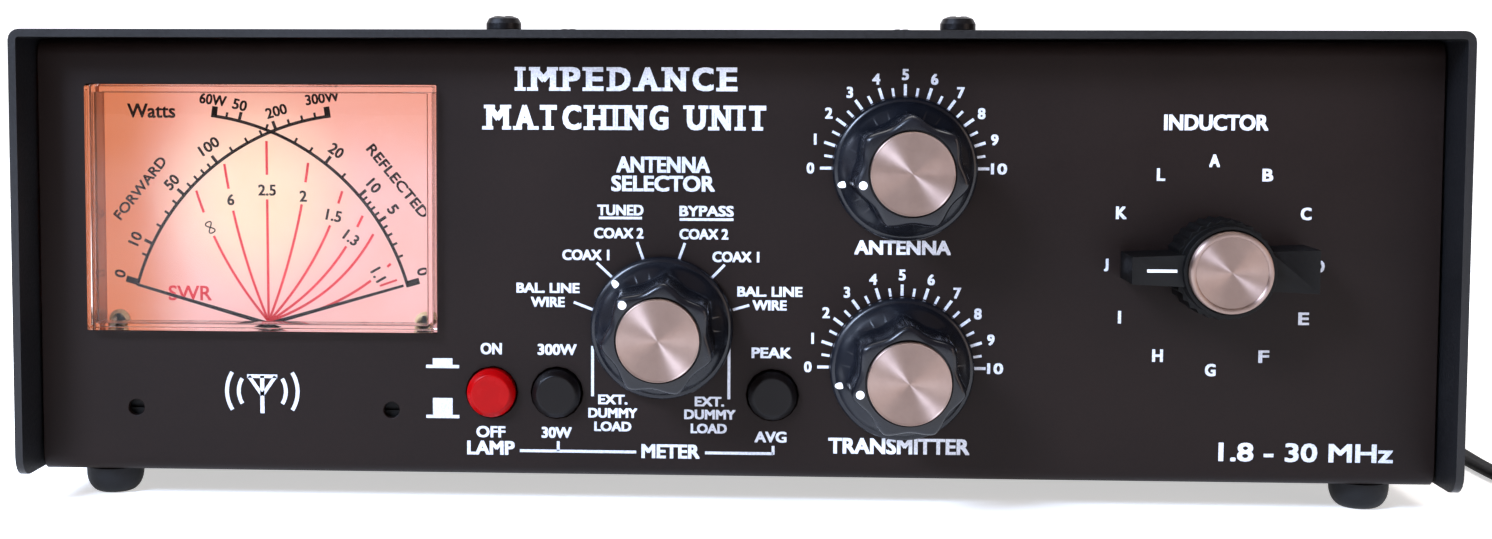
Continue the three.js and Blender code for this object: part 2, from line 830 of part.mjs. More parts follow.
function pointerKnob(at) {
  const teeth = Array.from({ length: 2 * pointerTeeth }, (_, i) => {
    const angle = (Math.PI * i) / pointerTeeth;
    const radius = pointerRadius - (i % 2) * pointerToothDepth;
    return [at[0] + radius * Math.cos(angle), at[1] + radius * Math.sin(angle)];
  });
  const bar = moved(
    [
      [-pointerTip, -pointerTipWidth / 2],
      [pointerTail, -pointerTailWidth / 2],
      [pointerTail, pointerTailWidth / 2],
      [-pointerTip, pointerTipWidth / 2],
    ],
    at,
  );
  const body = joined([
    prismY(teeth, ahead(10.4), ahead(knobClear)),
    prismY(bar, ahead(pointerHeight), ahead(knobClear + 0.2)),
    rodY(pointerInsert + 0.9, ahead(pointerCrown), ahead(9), at, 32),
  ]);
  return cutBy(body, knobHollows(at, pointerCrown, nutAcross / Math.sqrt(3) + 0.3, pointerInsert));
}

function insert(at, height, radius) {
  const [front, back] = [ahead(height + insertProud), ahead(height - insertSeat + gap)];
  return turned([[0, front], [radius - 0.25, front], [radius, front + 0.25], [radius, back], [0, back]], at, 32);
}

piece("selector_knob", flutedKnob(selectorAt, selectorPointing), blackPlastic);
piece("selector_insert", insert(selectorAt, knobHeight, insertRadius), brushedAluminium);
piece("selector_shaft", plainShaft(selectorAt, knobHeight, 38), aluminium);
piece("selector_switch", rotarySwitch(selectorAt, selectorSwitchRadius), ceramic);
piece("inductor_knob", pointerKnob(inductorAt), mattPlastic);
piece("inductor_insert", insert(inductorAt, pointerCrown, pointerInsert), brushedAluminium);
piece("inductor_shaft", plainShaft(inductorAt, pointerCrown, 38), aluminium);
piece("inductor_switch", rotarySwitch(inductorAt, inductorSwitchRadius), ceramic);

// ---------------------------------------------------------------- variable capacitors
const vaneY = (i) => behind(firstStator + i * platePitch);

function capacitorStator(at) {
  const [x, z] = at;
  const endPlate = (front) =>
    block(around(x, plateSide), [behind(front), behind(front + plateSheet)], around(z, plateSide));
  const corner = plateSide / 2 - 2.7;
  const posts = [-1, 1].flatMap((u) =>
    [-1, 1].map((v) =>
      rodY(1.75, behind(backOfPanel), behind(capacitorBack), [x + u * corner, z + v * corner], 8),
    ),
  );
  const rail = rotorRadius + 1.9;
  const rails = [-1, 1].map((v) => {
    const place = [x - rail * Math.cos(0.6), z + v * rail * Math.sin(0.6)];
    return rodY(1.3, behind(backOfPanel), behind(capacitorBack), place, 8);
  });
  const notch = Array.from({ length: 5 }, (_, i) => {
    const angle = Math.PI * (0.5 + i / 4);
    const radius = shaftRadius + 2.2;
    return [-1 + radius * Math.cos(angle), radius * Math.sin(angle)];
  }).reverse();
  const leaf = moved([[-17, -12.5], [-1, -12.5], ...notch, [-1, 12.5], [-17, 12.5]], at);
  const leaves = Array.from({ length: rotorPlates + 1 }, (_, i) =>
    prismY(leaf, vaneY(i), vaneY(i) + vane),
  );
  const frame = joined([
    bushing(at),
    endPlate(backOfPanel),
    endPlate(capacitorBack),
    ...posts,
    ...rails,
    ...leaves,
  ]);
  return cutBy(frame, [boreFor(at, capacitorBack + 5)]);
}

function capacitorRotor(at) {
  const fan = Array.from({ length: 11 }, (_, i) => {
    const angle = Math.PI * (0.5 + i / 10);
    return [at[0] + rotorRadius * Math.cos(angle), at[1] + rotorRadius * Math.sin(angle)];
  });
  const fans = Array.from({ length: rotorPlates }, (_, i) => {
    const front = vaneY(i + 0.5);
    return prismY(fan, front, front + vane);
  });
  return joined([
    plainShaft(at, knobHeight, capacitorBack + 4),
    rodY(shaftRadius + 1, behind(6), behind(capacitorBack - 3), at, 12),
    ...fans,
  ]);
}

[
  ["antenna", antennaAt],
  ["transmitter", transmitterAt],
].forEach(([name, at]) => {
  piece(`${name}_knob`, flutedKnob(at, capacitorPointing), blackPlastic);
  piece(`${name}_insert`, insert(at, knobHeight, insertRadius), brushedAluminium);
  piece(`${name}_rotor`, capacitorRotor(at), aluminium);
  piece(`${name}_stator`, capacitorStator(at), aluminium);
});

// ---------------------------------------------------------------- coil and balun
function inductorCoil() {
  const [inner, low, high] = [coilRadius - coilWall, -coilLength / 2, coilLength / 2];
  const profile = [[inner, low], [coilRadius, low], [coilRadius, high], [inner, high], [inner, low]];
  const points = profile.map(([radius, v]) => new THREE.Vector2(radius, v));
  const winding = new THREE.LatheGeometry(points, 32).rotateZ(Math.PI / 2);
  return solidOf(winding.translate(coilX, behind(coilDepth), coilZ));
}

function coilSupport() {
  const long = around(coilX, coilLength + 4);
  const y = behind(coilDepth);
  const top = coilZ - coilRadius - gap;
  return joined([
    block(long, around(y, 24), [floorZ + gap, floorZ + 2.3]),
    block(long, around(y, 3), [floorZ + 2, top - 1]),
    block(long, around(y, 10), [top - 2, top]),
  ]);
}

function balunCore() {
  const low = floorZ + gap;
  const high = low + balunHeight;
  const edge = 1.5;
  const profile = [
    [balunInner, low + edge],
    [balunInner + edge, low],
    [balunOuter - edge, low],
    [balunOuter, low + edge],
    [balunOuter, high - edge],
    [balunOuter - edge, high],
    [balunInner + edge, high],
    [balunInner, high - edge],
    [balunInner, low + edge],
  ];
  return upright(profile, [balunX, behind(balunDepth)], 28);
}

piece("inductor_coil", inductorCoil(), copper);
piece("coil_support", coilSupport(), acrylic);
piece("balun_core", balunCore(), ferrite);

// ---------------------------------------------------------------- rear sockets, posts and jack
function coaxSocket(x) {
  const at = [x, rearZ];
  const seat = beyond(gap);
  const body = joined([
    block(around(x, socketFlange), [seat, seat + socketFlangeSheet], around(rearZ, socketFlange)),
    rodY(socketBarrel, seat, beyond(socketReach), at, 24),
    rodY(socketBarrel - 2, beyond(-11), seat + 1, at, 16),
  ]);
  return cutBy(body, [
    rodY(socketMouth, beyond(socketReach - socketMouthDepth), beyond(socketReach + 1), at, 20),
    rodY(socketPinHole, beyond(socketReach - 11), beyond(socketReach + 1), at, 12),
  ]);
}

// A threaded stud with a wing nut, on a glazed insulator or on a plain washer.
function studPost([x, z], insulator) {
  const seat = beyond(gap);
  const base = insulator
    ? turned(
        [[0, seat], [8, seat], [8, seat + 1.5], [5, seat + 6], [0, seat + 6]],
        [x, z],
        20,
      )
    : rodY(5.5, seat, seat + 1.5, [x, z], 20);
  const nutFrom = insulator ? 6.3 : 2;
  const inside = insulator ? 2 * studRadius - gap : studRadius;
  const wings = prismY(
    moved(
      [
        [-9, 2],
        [-3.5, -2.5],
        [3.5, -2.5],
        [9, 2],
        [8, 5],
        [2.5, 2.6],
        [-2.5, 2.6],
        [-8, 5],
      ],
      [x, z],
    ),
    seat + nutFrom + 1,
    seat + nutFrom + 3.2,
  );
  return joined([
    base,
    rodY(studRadius, beyond(-12), beyond(postReach), [x, z], 12),
    rodY(inside, beyond(-6), seat + 1, [x, z], 16),
    rodY(4.2, seat + nutFrom - 1, seat + nutFrom + 5, [x, z], 16),
    wings,
  ]);
}

const jackBore = plugBarrel + gap;

function powerJack() {
  const [x, z] = jackAt;
  const body = joined([
    block(around(x, 10), [beyond(-14), beyond(-chassisSheet - gap)], around(z, 11)),
    rodY(jackRadius, beyond(-4), beyond(gap + 2.2), jackAt, 20),
    rodY(5.6, beyond(gap), beyond(gap + 2), jackAt, 6),
  ]);
  const bore = rodY(jackBore, beyond(-9), beyond(5), jackAt, 16);
  const pin = rodY(1, beyond(-10), beyond(0.5), jackAt, 10);
  return cutBy(body, [bore]).add(pin);
}

function powerPlug() {
  const face = beyond(2 * gap + 2.2);
  const handleEnd = face + plugHandleLength;
  const tip = face - plugBarrelLength;
  const body = turned(
    [
      [0, tip],
      [plugBarrel, tip],
      [plugBarrel, face],
      [plugHandle, face],
      [plugHandle, handleEnd],
      [plugHandle - 0.8, handleEnd + 0.6],
      [flexWidth / 2 + 0.3, handleEnd + plugTail],
      [0, handleEnd + plugTail],
    ],
    jackAt,
    20,
  );
  return cutBy(body, [rodY(1 + gap, tip - 1, face - 0.5, jackAt, 12)]);
}

Object.entries(socketX).forEach(([name, x]) => piece(`${name}_socket`, coaxSocket(x), nickel));
Object.entries(postX).forEach(([name, x]) => {
  const whole = name === "wire" ? "wire_post" : name.replace("balanced_", "balanced_post_");
  piece(whole, studPost([x, rearZ], true), ceramic);
});
piece("ground_post", studPost(groundAt, false), nickel);
piece("power_jack", powerJack(), mattPlastic);
piece("power_plug", powerPlug(), mattPlastic);

// ---------------------------------------------------------------- lamp lead
const flexLow = flexThickness / 2 + 0.05;
const cordStart = beyond(2 * gap + 2.2) + plugHandleLength + plugTail + gap;

// The route from the plug to the coil: out and down behind the tuner, round on the table and
// forward along its right side.
const cordRoute = [
  [jackAt[0], cordStart, jackAt[1]],
  [jackAt[0], cordStart + 7, 21.4],
  [jackAt[0], cordStart + 14, 18.6],
  [jackAt[0], cordStart + 21, 13.6],
  [jackAt[0], cordStart + 28, 7.6],
  [jackAt[0], cordStart + 34.5, 3.2],
  [118.4, cordStart + 41, 1.4],
  [120.5, cordStart + 48, flexLow],
  [126, cordStart + 55.5, flexLow],
  [134.5, cordStart + 60, flexLow],
  [144, cordStart + 58.5, flexLow],
  [151.5, cordStart + 52, flexLow],
  [156, cordStart + 42, flexLow],
  [158, cordStart + 28, flexLow],
  [158.6, cordStart + 8, flexLow],
  [158.4, 105, flexLow],
  [157.6, 80, flexLow],
  [157.2, 55, flexLow],
  [157.3, 30, flexLow],
  [157.6, 5, flexLow],
  [157.4, -18, flexLow],
  [157, -36, flexLow],
  [158.2, -51, flexLow],
  [163, -64.5, flexLow],
];

// A curve whose frames keep the flat side of the flex level.
class LevelCurve extends THREE.CatmullRomCurve3 {
  computeFrenetFrames(steps) {
    const up = new THREE.Vector3(0, 0, 1);
    const frames = { tangents: [], normals: [], binormals: [] };
    for (let i = 0; i <= steps; i += 1) {
      const along = this.getTangentAt(i / steps);
      const side = new THREE.Vector3().crossVectors(along, up).normalize();
      frames.tangents.push(along);
      frames.normals.push(side);
      frames.binormals.push(new THREE.Vector3().crossVectors(side, along).normalize());
    }
    return frames;
  }
}

function powerCord() {
  const section = new THREE.Shape(
    circle(1, 8, Math.PI / 8).map(
      ([u, v]) => new THREE.Vector2((u * flexWidth) / 2, (v * flexThickness) / 2),
    ),
  );
  const route = new LevelCurve(cordRoute.map((point) => new THREE.Vector3(...point)), false, "centripetal");
  const steps = 56;
  const swept = new THREE.ExtrudeGeometry(section, { steps, bevelEnabled: false, extrudePath: route });
  return solidOf(swept);
}

function cordCoil() {
  const half = (turnsAcross * turnPitch) / 2;
  const high = turnsUp * layPitch;
  const [inner, outer] = [coilMiddle - half, coilMiddle + half];
  const profile = [
    [inner, 1],
    [inner + 1, 0],
    [outer - 1, 0],
    [outer, 1],
    [outer, high - 1],
    [outer - 1, high],
    [inner + 1, high],
    [inner, high - 1],
    [inner, 1],
  ];
  return upright(profile, coilCentre, 32);
}

function powerAdapter() {
  const [width, length, height] = adapterSize;
  const x = coilCentre[0] + coilMiddle + ((turnsAcross - 1) * turnPitch) / 2;
  const y0 = coilCentre[1] + adapterLead;
  const bodyFrom = y0 + adapterRelief;
  const edge = 3;
  const face = (inset, z0, z1) => {
    const [a, b] = [x - width / 2 + inset, x + width / 2 - inset];
    const [c, d] = [bodyFrom + inset, bodyFrom + length - inset];
    const cut = edge;
    const corners = [
      [a + cut, c],
      [b - cut, c],
      [b, c + cut],
      [b, d - cut],
      [b - cut, d],
      [a + cut, d],
      [a, d - cut],
      [a, c + cut],
    ];
    return prismZ(corners, z0, z1);
  };
  const bladeZ = [height - 2, height + 16];
  const blades = [-1, 1].map((side) =>
    block(around(x + side * 6.35, 1.5), around(bodyFrom + length * 0.62, 6.3), bladeZ),
  );
  const relief = turned(
    [[0, y0], [3, y0], [4.4, bodyFrom + 1], [0, bodyFrom + 1]],
    [x, reliefRise],
    12,
  );
  return joined([
    face(1.2, 0, 1.4),
    face(0, 1.2, height - 1.2),
    face(1.2, height - 1.4, height),
    relief,
    ...blades,
  ]);
}

piece("power_cord", powerCord(), blackRubber);
piece("power_cord_coil", cordCoil(), blackRubber);
piece("power_adapter", powerAdapter(), mattPlastic);

export default tuner;
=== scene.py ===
"""A desktop antenna tuner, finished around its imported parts.

Lengths are in millimetres and become metres where a mesh is made. The front panel faces -Y and the
tuner stands on z = 0. Heights in front of the panel are called h, so y = PANEL - h.
"""
import json
import math

import bmesh
import bpy
import numpy as np
from mathutils import Matrix, Vector


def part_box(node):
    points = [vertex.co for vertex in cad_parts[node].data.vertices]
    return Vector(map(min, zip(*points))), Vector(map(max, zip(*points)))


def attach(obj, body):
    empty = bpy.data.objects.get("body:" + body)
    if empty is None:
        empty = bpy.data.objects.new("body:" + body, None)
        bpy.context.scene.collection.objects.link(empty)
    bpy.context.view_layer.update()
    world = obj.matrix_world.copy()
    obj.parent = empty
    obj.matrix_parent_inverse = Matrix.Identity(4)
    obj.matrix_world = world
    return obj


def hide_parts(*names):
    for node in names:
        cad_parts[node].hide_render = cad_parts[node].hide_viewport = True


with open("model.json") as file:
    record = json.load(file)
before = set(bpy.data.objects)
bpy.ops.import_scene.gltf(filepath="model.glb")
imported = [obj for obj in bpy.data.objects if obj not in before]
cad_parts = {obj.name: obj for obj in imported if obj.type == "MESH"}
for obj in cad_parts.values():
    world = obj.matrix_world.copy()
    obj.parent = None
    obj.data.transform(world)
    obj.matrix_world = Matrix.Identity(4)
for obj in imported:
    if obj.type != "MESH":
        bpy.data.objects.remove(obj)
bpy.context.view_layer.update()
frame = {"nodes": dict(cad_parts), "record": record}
scene = bpy.context.scene
MM = 0.001
TAU = 2 * math.pi
BODY_OF = {n: b for b, nodes in frame["record"]["behaviour"]["bodies"].items() for n in nodes}


def span(node):
    """A CAD node's lowest and highest corners."""
    low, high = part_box(node)
    return np.array(low) / MM, np.array(high) / MM


def middle(node):
    """The middle of a CAD node's box."""
    low, high = span(node)
    return (low + high) / 2


PANEL = span("chassis")[0][1]
REAR = span("chassis")[1][1]
SEAT = REAR + 0.3  # face of whatever stands on the outside of the rear panel
METER = middle("meter_window")[0]
DIAL = span("meter_dial")[0][1]
DIALS = {name: middle(name + "_insert") for name in ("selector", "antenna", "transmitter", "inductor")}


# ------------------------------------------------------------------ camera
def set_camera(place, yaw, pitch, roll, lens, shift):
    """Aims a camera: forward is (sin yaw cos pitch, cos yaw cos pitch, -sin pitch), then rolled."""
    yaw, pitch, roll = (math.radians(angle) for angle in (yaw, pitch, roll))
    forward = Vector((math.sin(yaw) * math.cos(pitch), math.cos(yaw) * math.cos(pitch), -math.sin(pitch)))
    level = Vector((math.cos(yaw), -math.sin(yaw), 0))
    right = level * math.cos(roll) + level.cross(forward) * math.sin(roll)
    up = right.cross(forward)
    camera = bpy.data.objects.new("camera", bpy.data.cameras.new("camera"))
    turn = Matrix((right, up, -forward)).transposed().to_4x4()
    camera.matrix_world = Matrix.Translation(Vector(place) * MM) @ turn
    camera.data.lens = lens
    camera.data.sensor_width = 36
    camera.data.shift_x, camera.data.shift_y = shift
    camera.data.clip_start = 0.01
    scene.collection.objects.link(camera)
    scene.camera = camera


set_camera((3.43, PANEL - 381.61, 84.61), -2.944, 3.783, 0.137, 48.58, (0.0690, -0.0483))


# ------------------------------------------------------------------ materials
def linear(code, alpha=1.0):
    """An sRGB hex colour as linear light: c / 12.92 up to 0.04045, else ((c + 0.055) / 1.055)^2.4."""
    parts = np.array([int(code[i : i + 2], 16) for i in (0, 2, 4)]) / 255
    light = np.where(parts <= 0.04045, parts / 12.92, ((parts + 0.055) / 1.055) ** 2.4)
    return (*light.tolist(), alpha)


def add(tree, kind, inputs=None, **settings):
    """Adds one node: settings are its own, and each input gets a value or the socket it reads."""
    made = tree.nodes.new(kind)
    for key, value in settings.items():
        setattr(made, key, value)
    for key, value in (inputs or {}).items():
        if isinstance(value, bpy.types.NodeSocket):
            tree.links.new(value, made.inputs[key])
        else:
            made.inputs[key].default_value = value
    return made


def finish(name, dark, light, rough, grain, relief, stretch=(1, 1, 1), **sockets):
    """One noise of the given grain moves the colour from dark to light, the roughness across rough
    and the height by relief; a slower noise, about 30 mm, adds the unevenness of handled surfaces.
    """
    material = bpy.data.materials.new(name)
    material.use_nodes = True
    tree = material.node_tree
    tree.nodes.clear()
    place = add(tree, "ShaderNodeTexCoord").outputs["Object"]
    drawn = add(tree, "ShaderNodeMapping", {"Vector": place, "Scale": stretch}).outputs[0]
    fine = add(tree, "ShaderNodeTexNoise", {"Vector": drawn, "Scale": 1 / (grain * MM), "Detail": 3.0})
    slow = add(tree, "ShaderNodeTexNoise", {"Vector": place, "Scale": 33.0, "Detail": 2.0})
    both = add(tree, "ShaderNodeMath", {0: fine.outputs["Fac"], 1: slow.outputs["Fac"]}, operation="ADD")
    usual = {"Value": both.outputs[0], "From Min": 0.7, "From Max": 1.3}
    spread = add(tree, "ShaderNodeMapRange", usual)
    ends = {"Color1": linear(dark), "Color2": linear(light)}
    tint = add(tree, "ShaderNodeMixRGB", {"Fac": spread.outputs[0], **ends})
    gloss = add(tree, "ShaderNodeMapRange", {**usual, "To Min": rough[0], "To Max": rough[1]})
    height = add(tree, "ShaderNodeBump", {"Height": fine.outputs["Fac"], "Distance": relief * MM, "Strength": 1.0})
    shader = add(
        tree,
        "ShaderNodeBsdfPrincipled",
        {
            "Base Color": tint.outputs[0],
            "Roughness": gloss.outputs[0],
            "Normal": height.outputs[0],
            **{key.replace("_", " "): value for key, value in sockets.items()},
        },
    )
    add(tree, "ShaderNodeOutputMaterial", {"Surface": shader.outputs[0]})
    return material


def shader_of(material):
    return next(n for n in material.node_tree.nodes if n.type == "BSDF_PRINCIPLED")


# Baked matt enamel on sheet steel: sprayed, so it is even, with a fine orange-peel grain.
PANEL_PAINT = finish("matt_panel_enamel", "130b09", "1a110e", (0.45, 0.58), 0.5, 0.012, Specular_IOR_Level=0.14)
# Textured enamel on the cover: a coarser, slightly bluish grain that catches small highlights.
COVER_PAINT = finish("textured_cover_enamel", "0a0a0c", "151517", (0.36, 0.52), 0.55, 0.05, Specular_IOR_Level=0.3)
# Screen-printed ink: off-white, thin enough for the paint's grain to show through as speckle.
WHITE_INK = finish("screen_printed_ink", "a9adb9", "dfe3ec", (0.5, 0.7), 0.3, 0.004)
# Glossy moulded ABS: nearly black with a few rub marks. Its cool cast is painted reflection of the bluish light from
# the upper left.
GLOSS_BLACK = finish("moulded_black_abs", "0a0b0f", "111319", (0.2, 0.3), 6.0, 0.01, Specular_IOR_Level=0.34)
# The same plastic on the push buttons, dulled by fingers.
BUTTON_BLACK = finish("worn_black_abs", "060303", "0b0707", (0.3, 0.42), 2.0, 0.006, Specular_IOR_Level=0.17)
# Satin moulded phenolic for the pointer knob, duller than the fluted knobs.
SATIN_BLACK = finish("satin_black_phenolic", "050505", "0c0b0b", (0.34, 0.5), 0.8, 0.01, Specular_IOR_Level=0.15)
# Red ABS button, polished by the mould.
RED_ABS = finish("moulded_red_abs", "8b0103", "9b0205", (0.24, 0.34), 4.0, 0.006, Specular_IOR_Level=0.1)
# White enamel filled into the pointer dots.
DOT_ENAMEL = finish("white_dot_enamel", "e9ebf0", "ffffff", (0.25, 0.4), 1.0, 0.01)
# Clear polystyrene window, polished, with faint flow lines.
CLEAR_STYRENE = finish(
    "clear_polystyrene", "fff7f2", "ffffff", (0.0, 0.02), 9.0, 0.002, Transmission_Weight=1.0, IOR=1.22
)
# Injection-moulded meter housing of translucent white. Its warm orange-brown colour is painted lamp light, the glow its
# walls take up from the meter lamp.
HOUSING = finish("housing_painted_lamp_glow", "9c5f48", "b3765c", (0.4, 0.55), 1.5, 0.01, Subsurface_Weight=0.1)
# Zinc plate with yellow passivation on the small dial screws. The bright, mostly unmetallic colour is painted light: it
# stands in for the lamp's glow on them where they sit in shadow.
BRASSY_ZINC = finish("yellow_zinc_painted_lamp_light", "c9aa7c", "e8d4a8", (0.3, 0.45), 0.7, 0.01, Metallic=0.3)
# Black oxide on case-hardened screws: dark, oily, with the steel glinting at the edges.
BLACK_OXIDE = finish("black_oxide_steel", "0c0c0e", "1d1d20", (0.28, 0.45), 0.5, 0.01, Metallic=0.6)
# Soft rubber feet, dusty and dull.
RUBBER = finish("moulded_rubber", "0b0b0d", "151517", (0.55, 0.75), 0.6, 0.02, Specular_IOR_Level=0.25)
# Bright zinc plate on steel.
ZINC = finish("bright_zinc_plate", "9da1a8", "c4c8cd", (0.22, 0.38), 1.2, 0.008, Metallic=1.0)
# Nickel plate on turned brass.
NICKEL = finish("nickel_plate", "b5b2aa", "d5d2ca", (0.14, 0.28), 1.5, 0.006, Metallic=1.0)
# Plain rolled aluminium, drawn lengthways, on capacitor plates and shafts.
ALUMINIUM = finish("rolled_aluminium", "a9adb0", "cfd2d4", (0.28, 0.42), 0.5, 0.006, (1, 0.1, 1), Metallic=1.0)
# Glazed steatite ceramic, cream white.
CERAMIC = finish("glazed_steatite", "d9d2c0", "efeadd", (0.1, 0.25), 1.5, 0.02, Coat_Weight=0.5)
# Paper-phenolic switch wafers, tan with a fibrous grain.
PHENOLIC = finish("paper_phenolic", "8a5a34", "a9774a", (0.4, 0.6), 0.35, 0.02)
# Bare tinned copper wire, drawn, slightly tarnished.
COPPER = finish("drawn_copper_wire", "a9603a", "d28a5c", (0.2, 0.4), 1.0, 0.01, Metallic=1.0)
# Enamelled winding wire, deep red-brown varnish.
ENAMEL_WIRE = finish("enamelled_copper_wire", "6b2313", "94391f", (0.18, 0.3), 2.0, 0.006, Metallic=0.7)
# Iron-powder ring with its coat of red paint.
IRON_POWDER = finish("painted_iron_powder", "7a1f18", "98302a", (0.45, 0.6), 0.6, 0.03)
# Solder-masked glass-fibre board, green with its weave just showing.
BOARD = finish("solder_masked_board", "1d4a2b", "2f6a40", (0.25, 0.4), 0.45, 0.01)
# Clear cast acrylic bars that hold the coil.
ACRYLIC = finish("cast_acrylic", "e6ecec", "f7fbfb", (0.03, 0.1), 6.0, 0.006, Transmission_Weight=0.9, IOR=1.49)
# Lamp bulb glass, warm and lit, over its brass base.
LAMP_GLASS = finish(
    "lit_lamp_glass", "ffd9a0", "fff0cf", (0.05, 0.15), 3.0, 0.004, Emission_Color=linear("ffb765"), Emission_Strength=6.0
)
# Soft PVC of the flat twin flex: black, faintly ribbed by the extruder.
FLEX_PVC = finish("soft_black_pvc", "030303", "070707", (0.5, 0.65), 0.8, 0.01, Specular_IOR_Level=0.06)
# Grained ABS of plug and adapter.
GRAINED_ABS = finish("grained_black_abs", "131315", "202023", (0.42, 0.58), 0.5, 0.03)
# Glass-filled nylon of the two adjusters, coloured near-black as painted shade for the shadow they sit in behind their
# holes.
TRIMMER_SHADE = finish("adjuster_painted_shade", "040404", "090808", (0.45, 0.6), 0.5, 0.01, Specular_IOR_Level=0.15)
# Black lacquer on the thin aluminium needles.
NEEDLE_LACQUER = finish("needle_lacquer", "060404", "0e0a09", (0.45, 0.6), 1.0, 0.004, Specular_IOR_Level=0.2)
# Printing on the dial, dark brown-black and signal red, lit through the card from behind.
DIAL_BLACK = finish("dial_black_ink", "160907", "210f0a", (0.6, 0.75), 0.5, 0.002, Specular_IOR_Level=0.15)
DIAL_RED = finish(
    "dial_red_ink", "b01620", "c4202a", (0.5, 0.65), 0.5, 0.002, Emission_Color=linear("c81a28"), Emission_Strength=0.38
)


def spun_aluminium(name):
    """Turned on a lathe with a broad tool: the grooves run round the axis, so light draws out into a bow-tie across the
    disc.
    """
    # The warm brown of this base colour is painted reflection of the warm room light; the turned metal itself is
    # neutral.
    material = finish(name, "8c7870", "9c877e", (0.38, 0.43), 3.0, 0.002, Metallic=1.0)
    tree = material.node_tree
    shader = shader_of(material)
    shader.inputs["Anisotropic"].default_value = 0.94
    shader.inputs["Anisotropic Rotation"].default_value = 0.25
    tangent = add(tree, "ShaderNodeTangent", direction_type="RADIAL", axis="Y")
    tree.links.new(tangent.outputs[0], shader.inputs["Tangent"])
    return material


SPUN = spun_aluminium("spun_aluminium_painted_warm_reflection")


def lit_card():
    """Printed card lit from behind by one lamp. Its glow is pink-white, with an orange band down the
    left side and another, weaker, along the top, and a cream pool of 20 mm around the lamp.
    """
    material = finish("backlit_dial_card", "4c3b35", "54423c", (0.6, 0.7), 0.8, 0.002, Specular_IOR_Level=0.2)
    tree = material.node_tree
    shader = shader_of(material)
    place = add(tree, "ShaderNodeTexCoord").outputs["Object"]
    axes = add(tree, "ShaderNodeSeparateXYZ", {"Vector": place})
    glow = None
    for axis, start, end, most, colour in (
        ("Z", 58, 80, 0.85, "f0a08c"),
        ("X", METER - 12, METER - 29, 0.95, "d2774c"),
    ):
        reach = {"From Min": start * MM, "From Max": end * MM, "To Min": 0.0, "To Max": most}
        band = add(tree, "ShaderNodeMapRange", {"Value": axes.outputs[axis], **reach}, interpolation_type="SMOOTHSTEP")
        ends = {"Color1": glow or linear("f5bdbf"), "Color2": linear(colour)}
        glow = add(tree, "ShaderNodeMixRGB", {"Fac": band.outputs[0], **ends}).outputs[0]
    lamp = Vector((METER - 3, DIAL, 59)) * MM
    near = add(tree, "ShaderNodeMapping", {"Vector": place, "Location": -lamp}, vector_type="POINT")
    far = add(tree, "ShaderNodeVectorMath", {0: near.outputs[0]}, operation="LENGTH")
    reach = {"From Min": 4 * MM, "From Max": 24 * MM, "To Min": 0.92, "To Max": 0.0}
    pool = add(tree, "ShaderNodeMapRange", {"Value": far.outputs["Value"], **reach}, interpolation_type="SMOOTHSTEP")
    lit = add(tree, "ShaderNodeMixRGB", {"Fac": pool.outputs[0], "Color1": glow, "Color2": linear("ffe2c4")})
    tree.links.new(lit.outputs[0], shader.inputs["Emission Color"])
    shader.inputs["Emission Strength"].default_value = 1.0
    return material


LIT_CARD = lit_card()


def grid_faces(rows, columns, closed_rows=False, closed_columns=True):
    """Quads between neighbouring rows and columns of a grid of points, joined round where closed."""
    r = np.arange(rows if closed_rows else rows - 1)[:, None]
    c = np.arange(columns if closed_columns else columns - 1)[None, :]
    below, beside = (r + 1) % rows, (c + 1) % columns
    corners = [r * columns + c, r * columns + beside, below * columns + beside, below * columns + c]
    return np.stack(np.broadcast_arrays(*corners), -1).reshape(-1, 4)


def piece(name, points, faces, material, like, body=None, smooth=35):
    """A mesh from points in millimetres. It rides with the same body as the CAD node called like."""
    mesh = bpy.data.meshes.new(name)
    mesh.from_pydata((np.asarray(points, float).reshape(-1, 3) * MM).tolist(), [], np.asarray(faces).tolist())
    shape = bmesh.new()
    shape.from_mesh(mesh)
    bmesh.ops.remove_doubles(shape, verts=shape.verts, dist=2e-7)
    bmesh.ops.dissolve_degenerate(shape, edges=shape.edges, dist=1e-7)
    bmesh.ops.recalc_face_normals(shape, faces=shape.faces)
    shape.to_mesh(mesh)
    shape.free()
    return settle(name, mesh, material, like, body, smooth)


def settle(name, mesh, material, like, body=None, smooth=35):
    """Gives a mesh its object, material, shading and body."""
    mesh.materials.clear()
    mesh.materials.append(material)
    mesh.polygons.foreach_set("use_smooth", [True] * len(mesh.polygons))
    mesh.set_sharp_from_angle(angle=math.radians(smooth))
    made = bpy.data.objects.new(name, mesh)
    scene.collection.objects.link(made)
    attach(made, body or BODY_OF[like])
    return made


def eased(made, width, segments=2, angle=32):
    """Rounds every edge sharper than the angle."""
    bevel = made.modifiers.new("eased_edges", "BEVEL")
    bevel.width = width * MM
    bevel.segments = segments
    bevel.limit_method = "ANGLE"
    bevel.angle_limit = math.radians(angle)
    bevel.harden_normals = True
    return made


def about_y(at, radius, y, angle):
    """Points about an axis along Y: (x, z) = at + radius (cos angle, sin angle)."""
    flat = at[0] + radius * np.cos(angle), y, at[1] + radius * np.sin(angle)
    return np.stack(np.broadcast_arrays(*flat), -1)


def round_y(profile, at, sides):
    """Rings about an axis along Y, from a profile's (radius, y) pairs."""
    profile = np.asarray(profile, float)
    return about_y(at, profile[:, :1], profile[:, 1:], np.arange(sides) * TAU / sides)


def turned(name, profile, at, material, like, sides=48, smooth=35, body=None):
    """A turned piece: its (radius, y) profile starts and ends on the axis."""
    points = round_y(profile, at, sides)
    return piece(name, points, grid_faces(len(profile), sides), material, like, body, smooth)


def upright(name, profile, at, material, like, sides=48, smooth=35):
    """As turned, about an axis along Z: (x, y) = at + r (cos a, sin a), z from the profile."""
    points = round_y(profile, at, sides)[..., [0, 2, 1]]
    return piece(name, points, grid_faces(len(profile), sides), material, like, None, smooth)


def replaced(made, node):
    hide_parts(node)
    return made


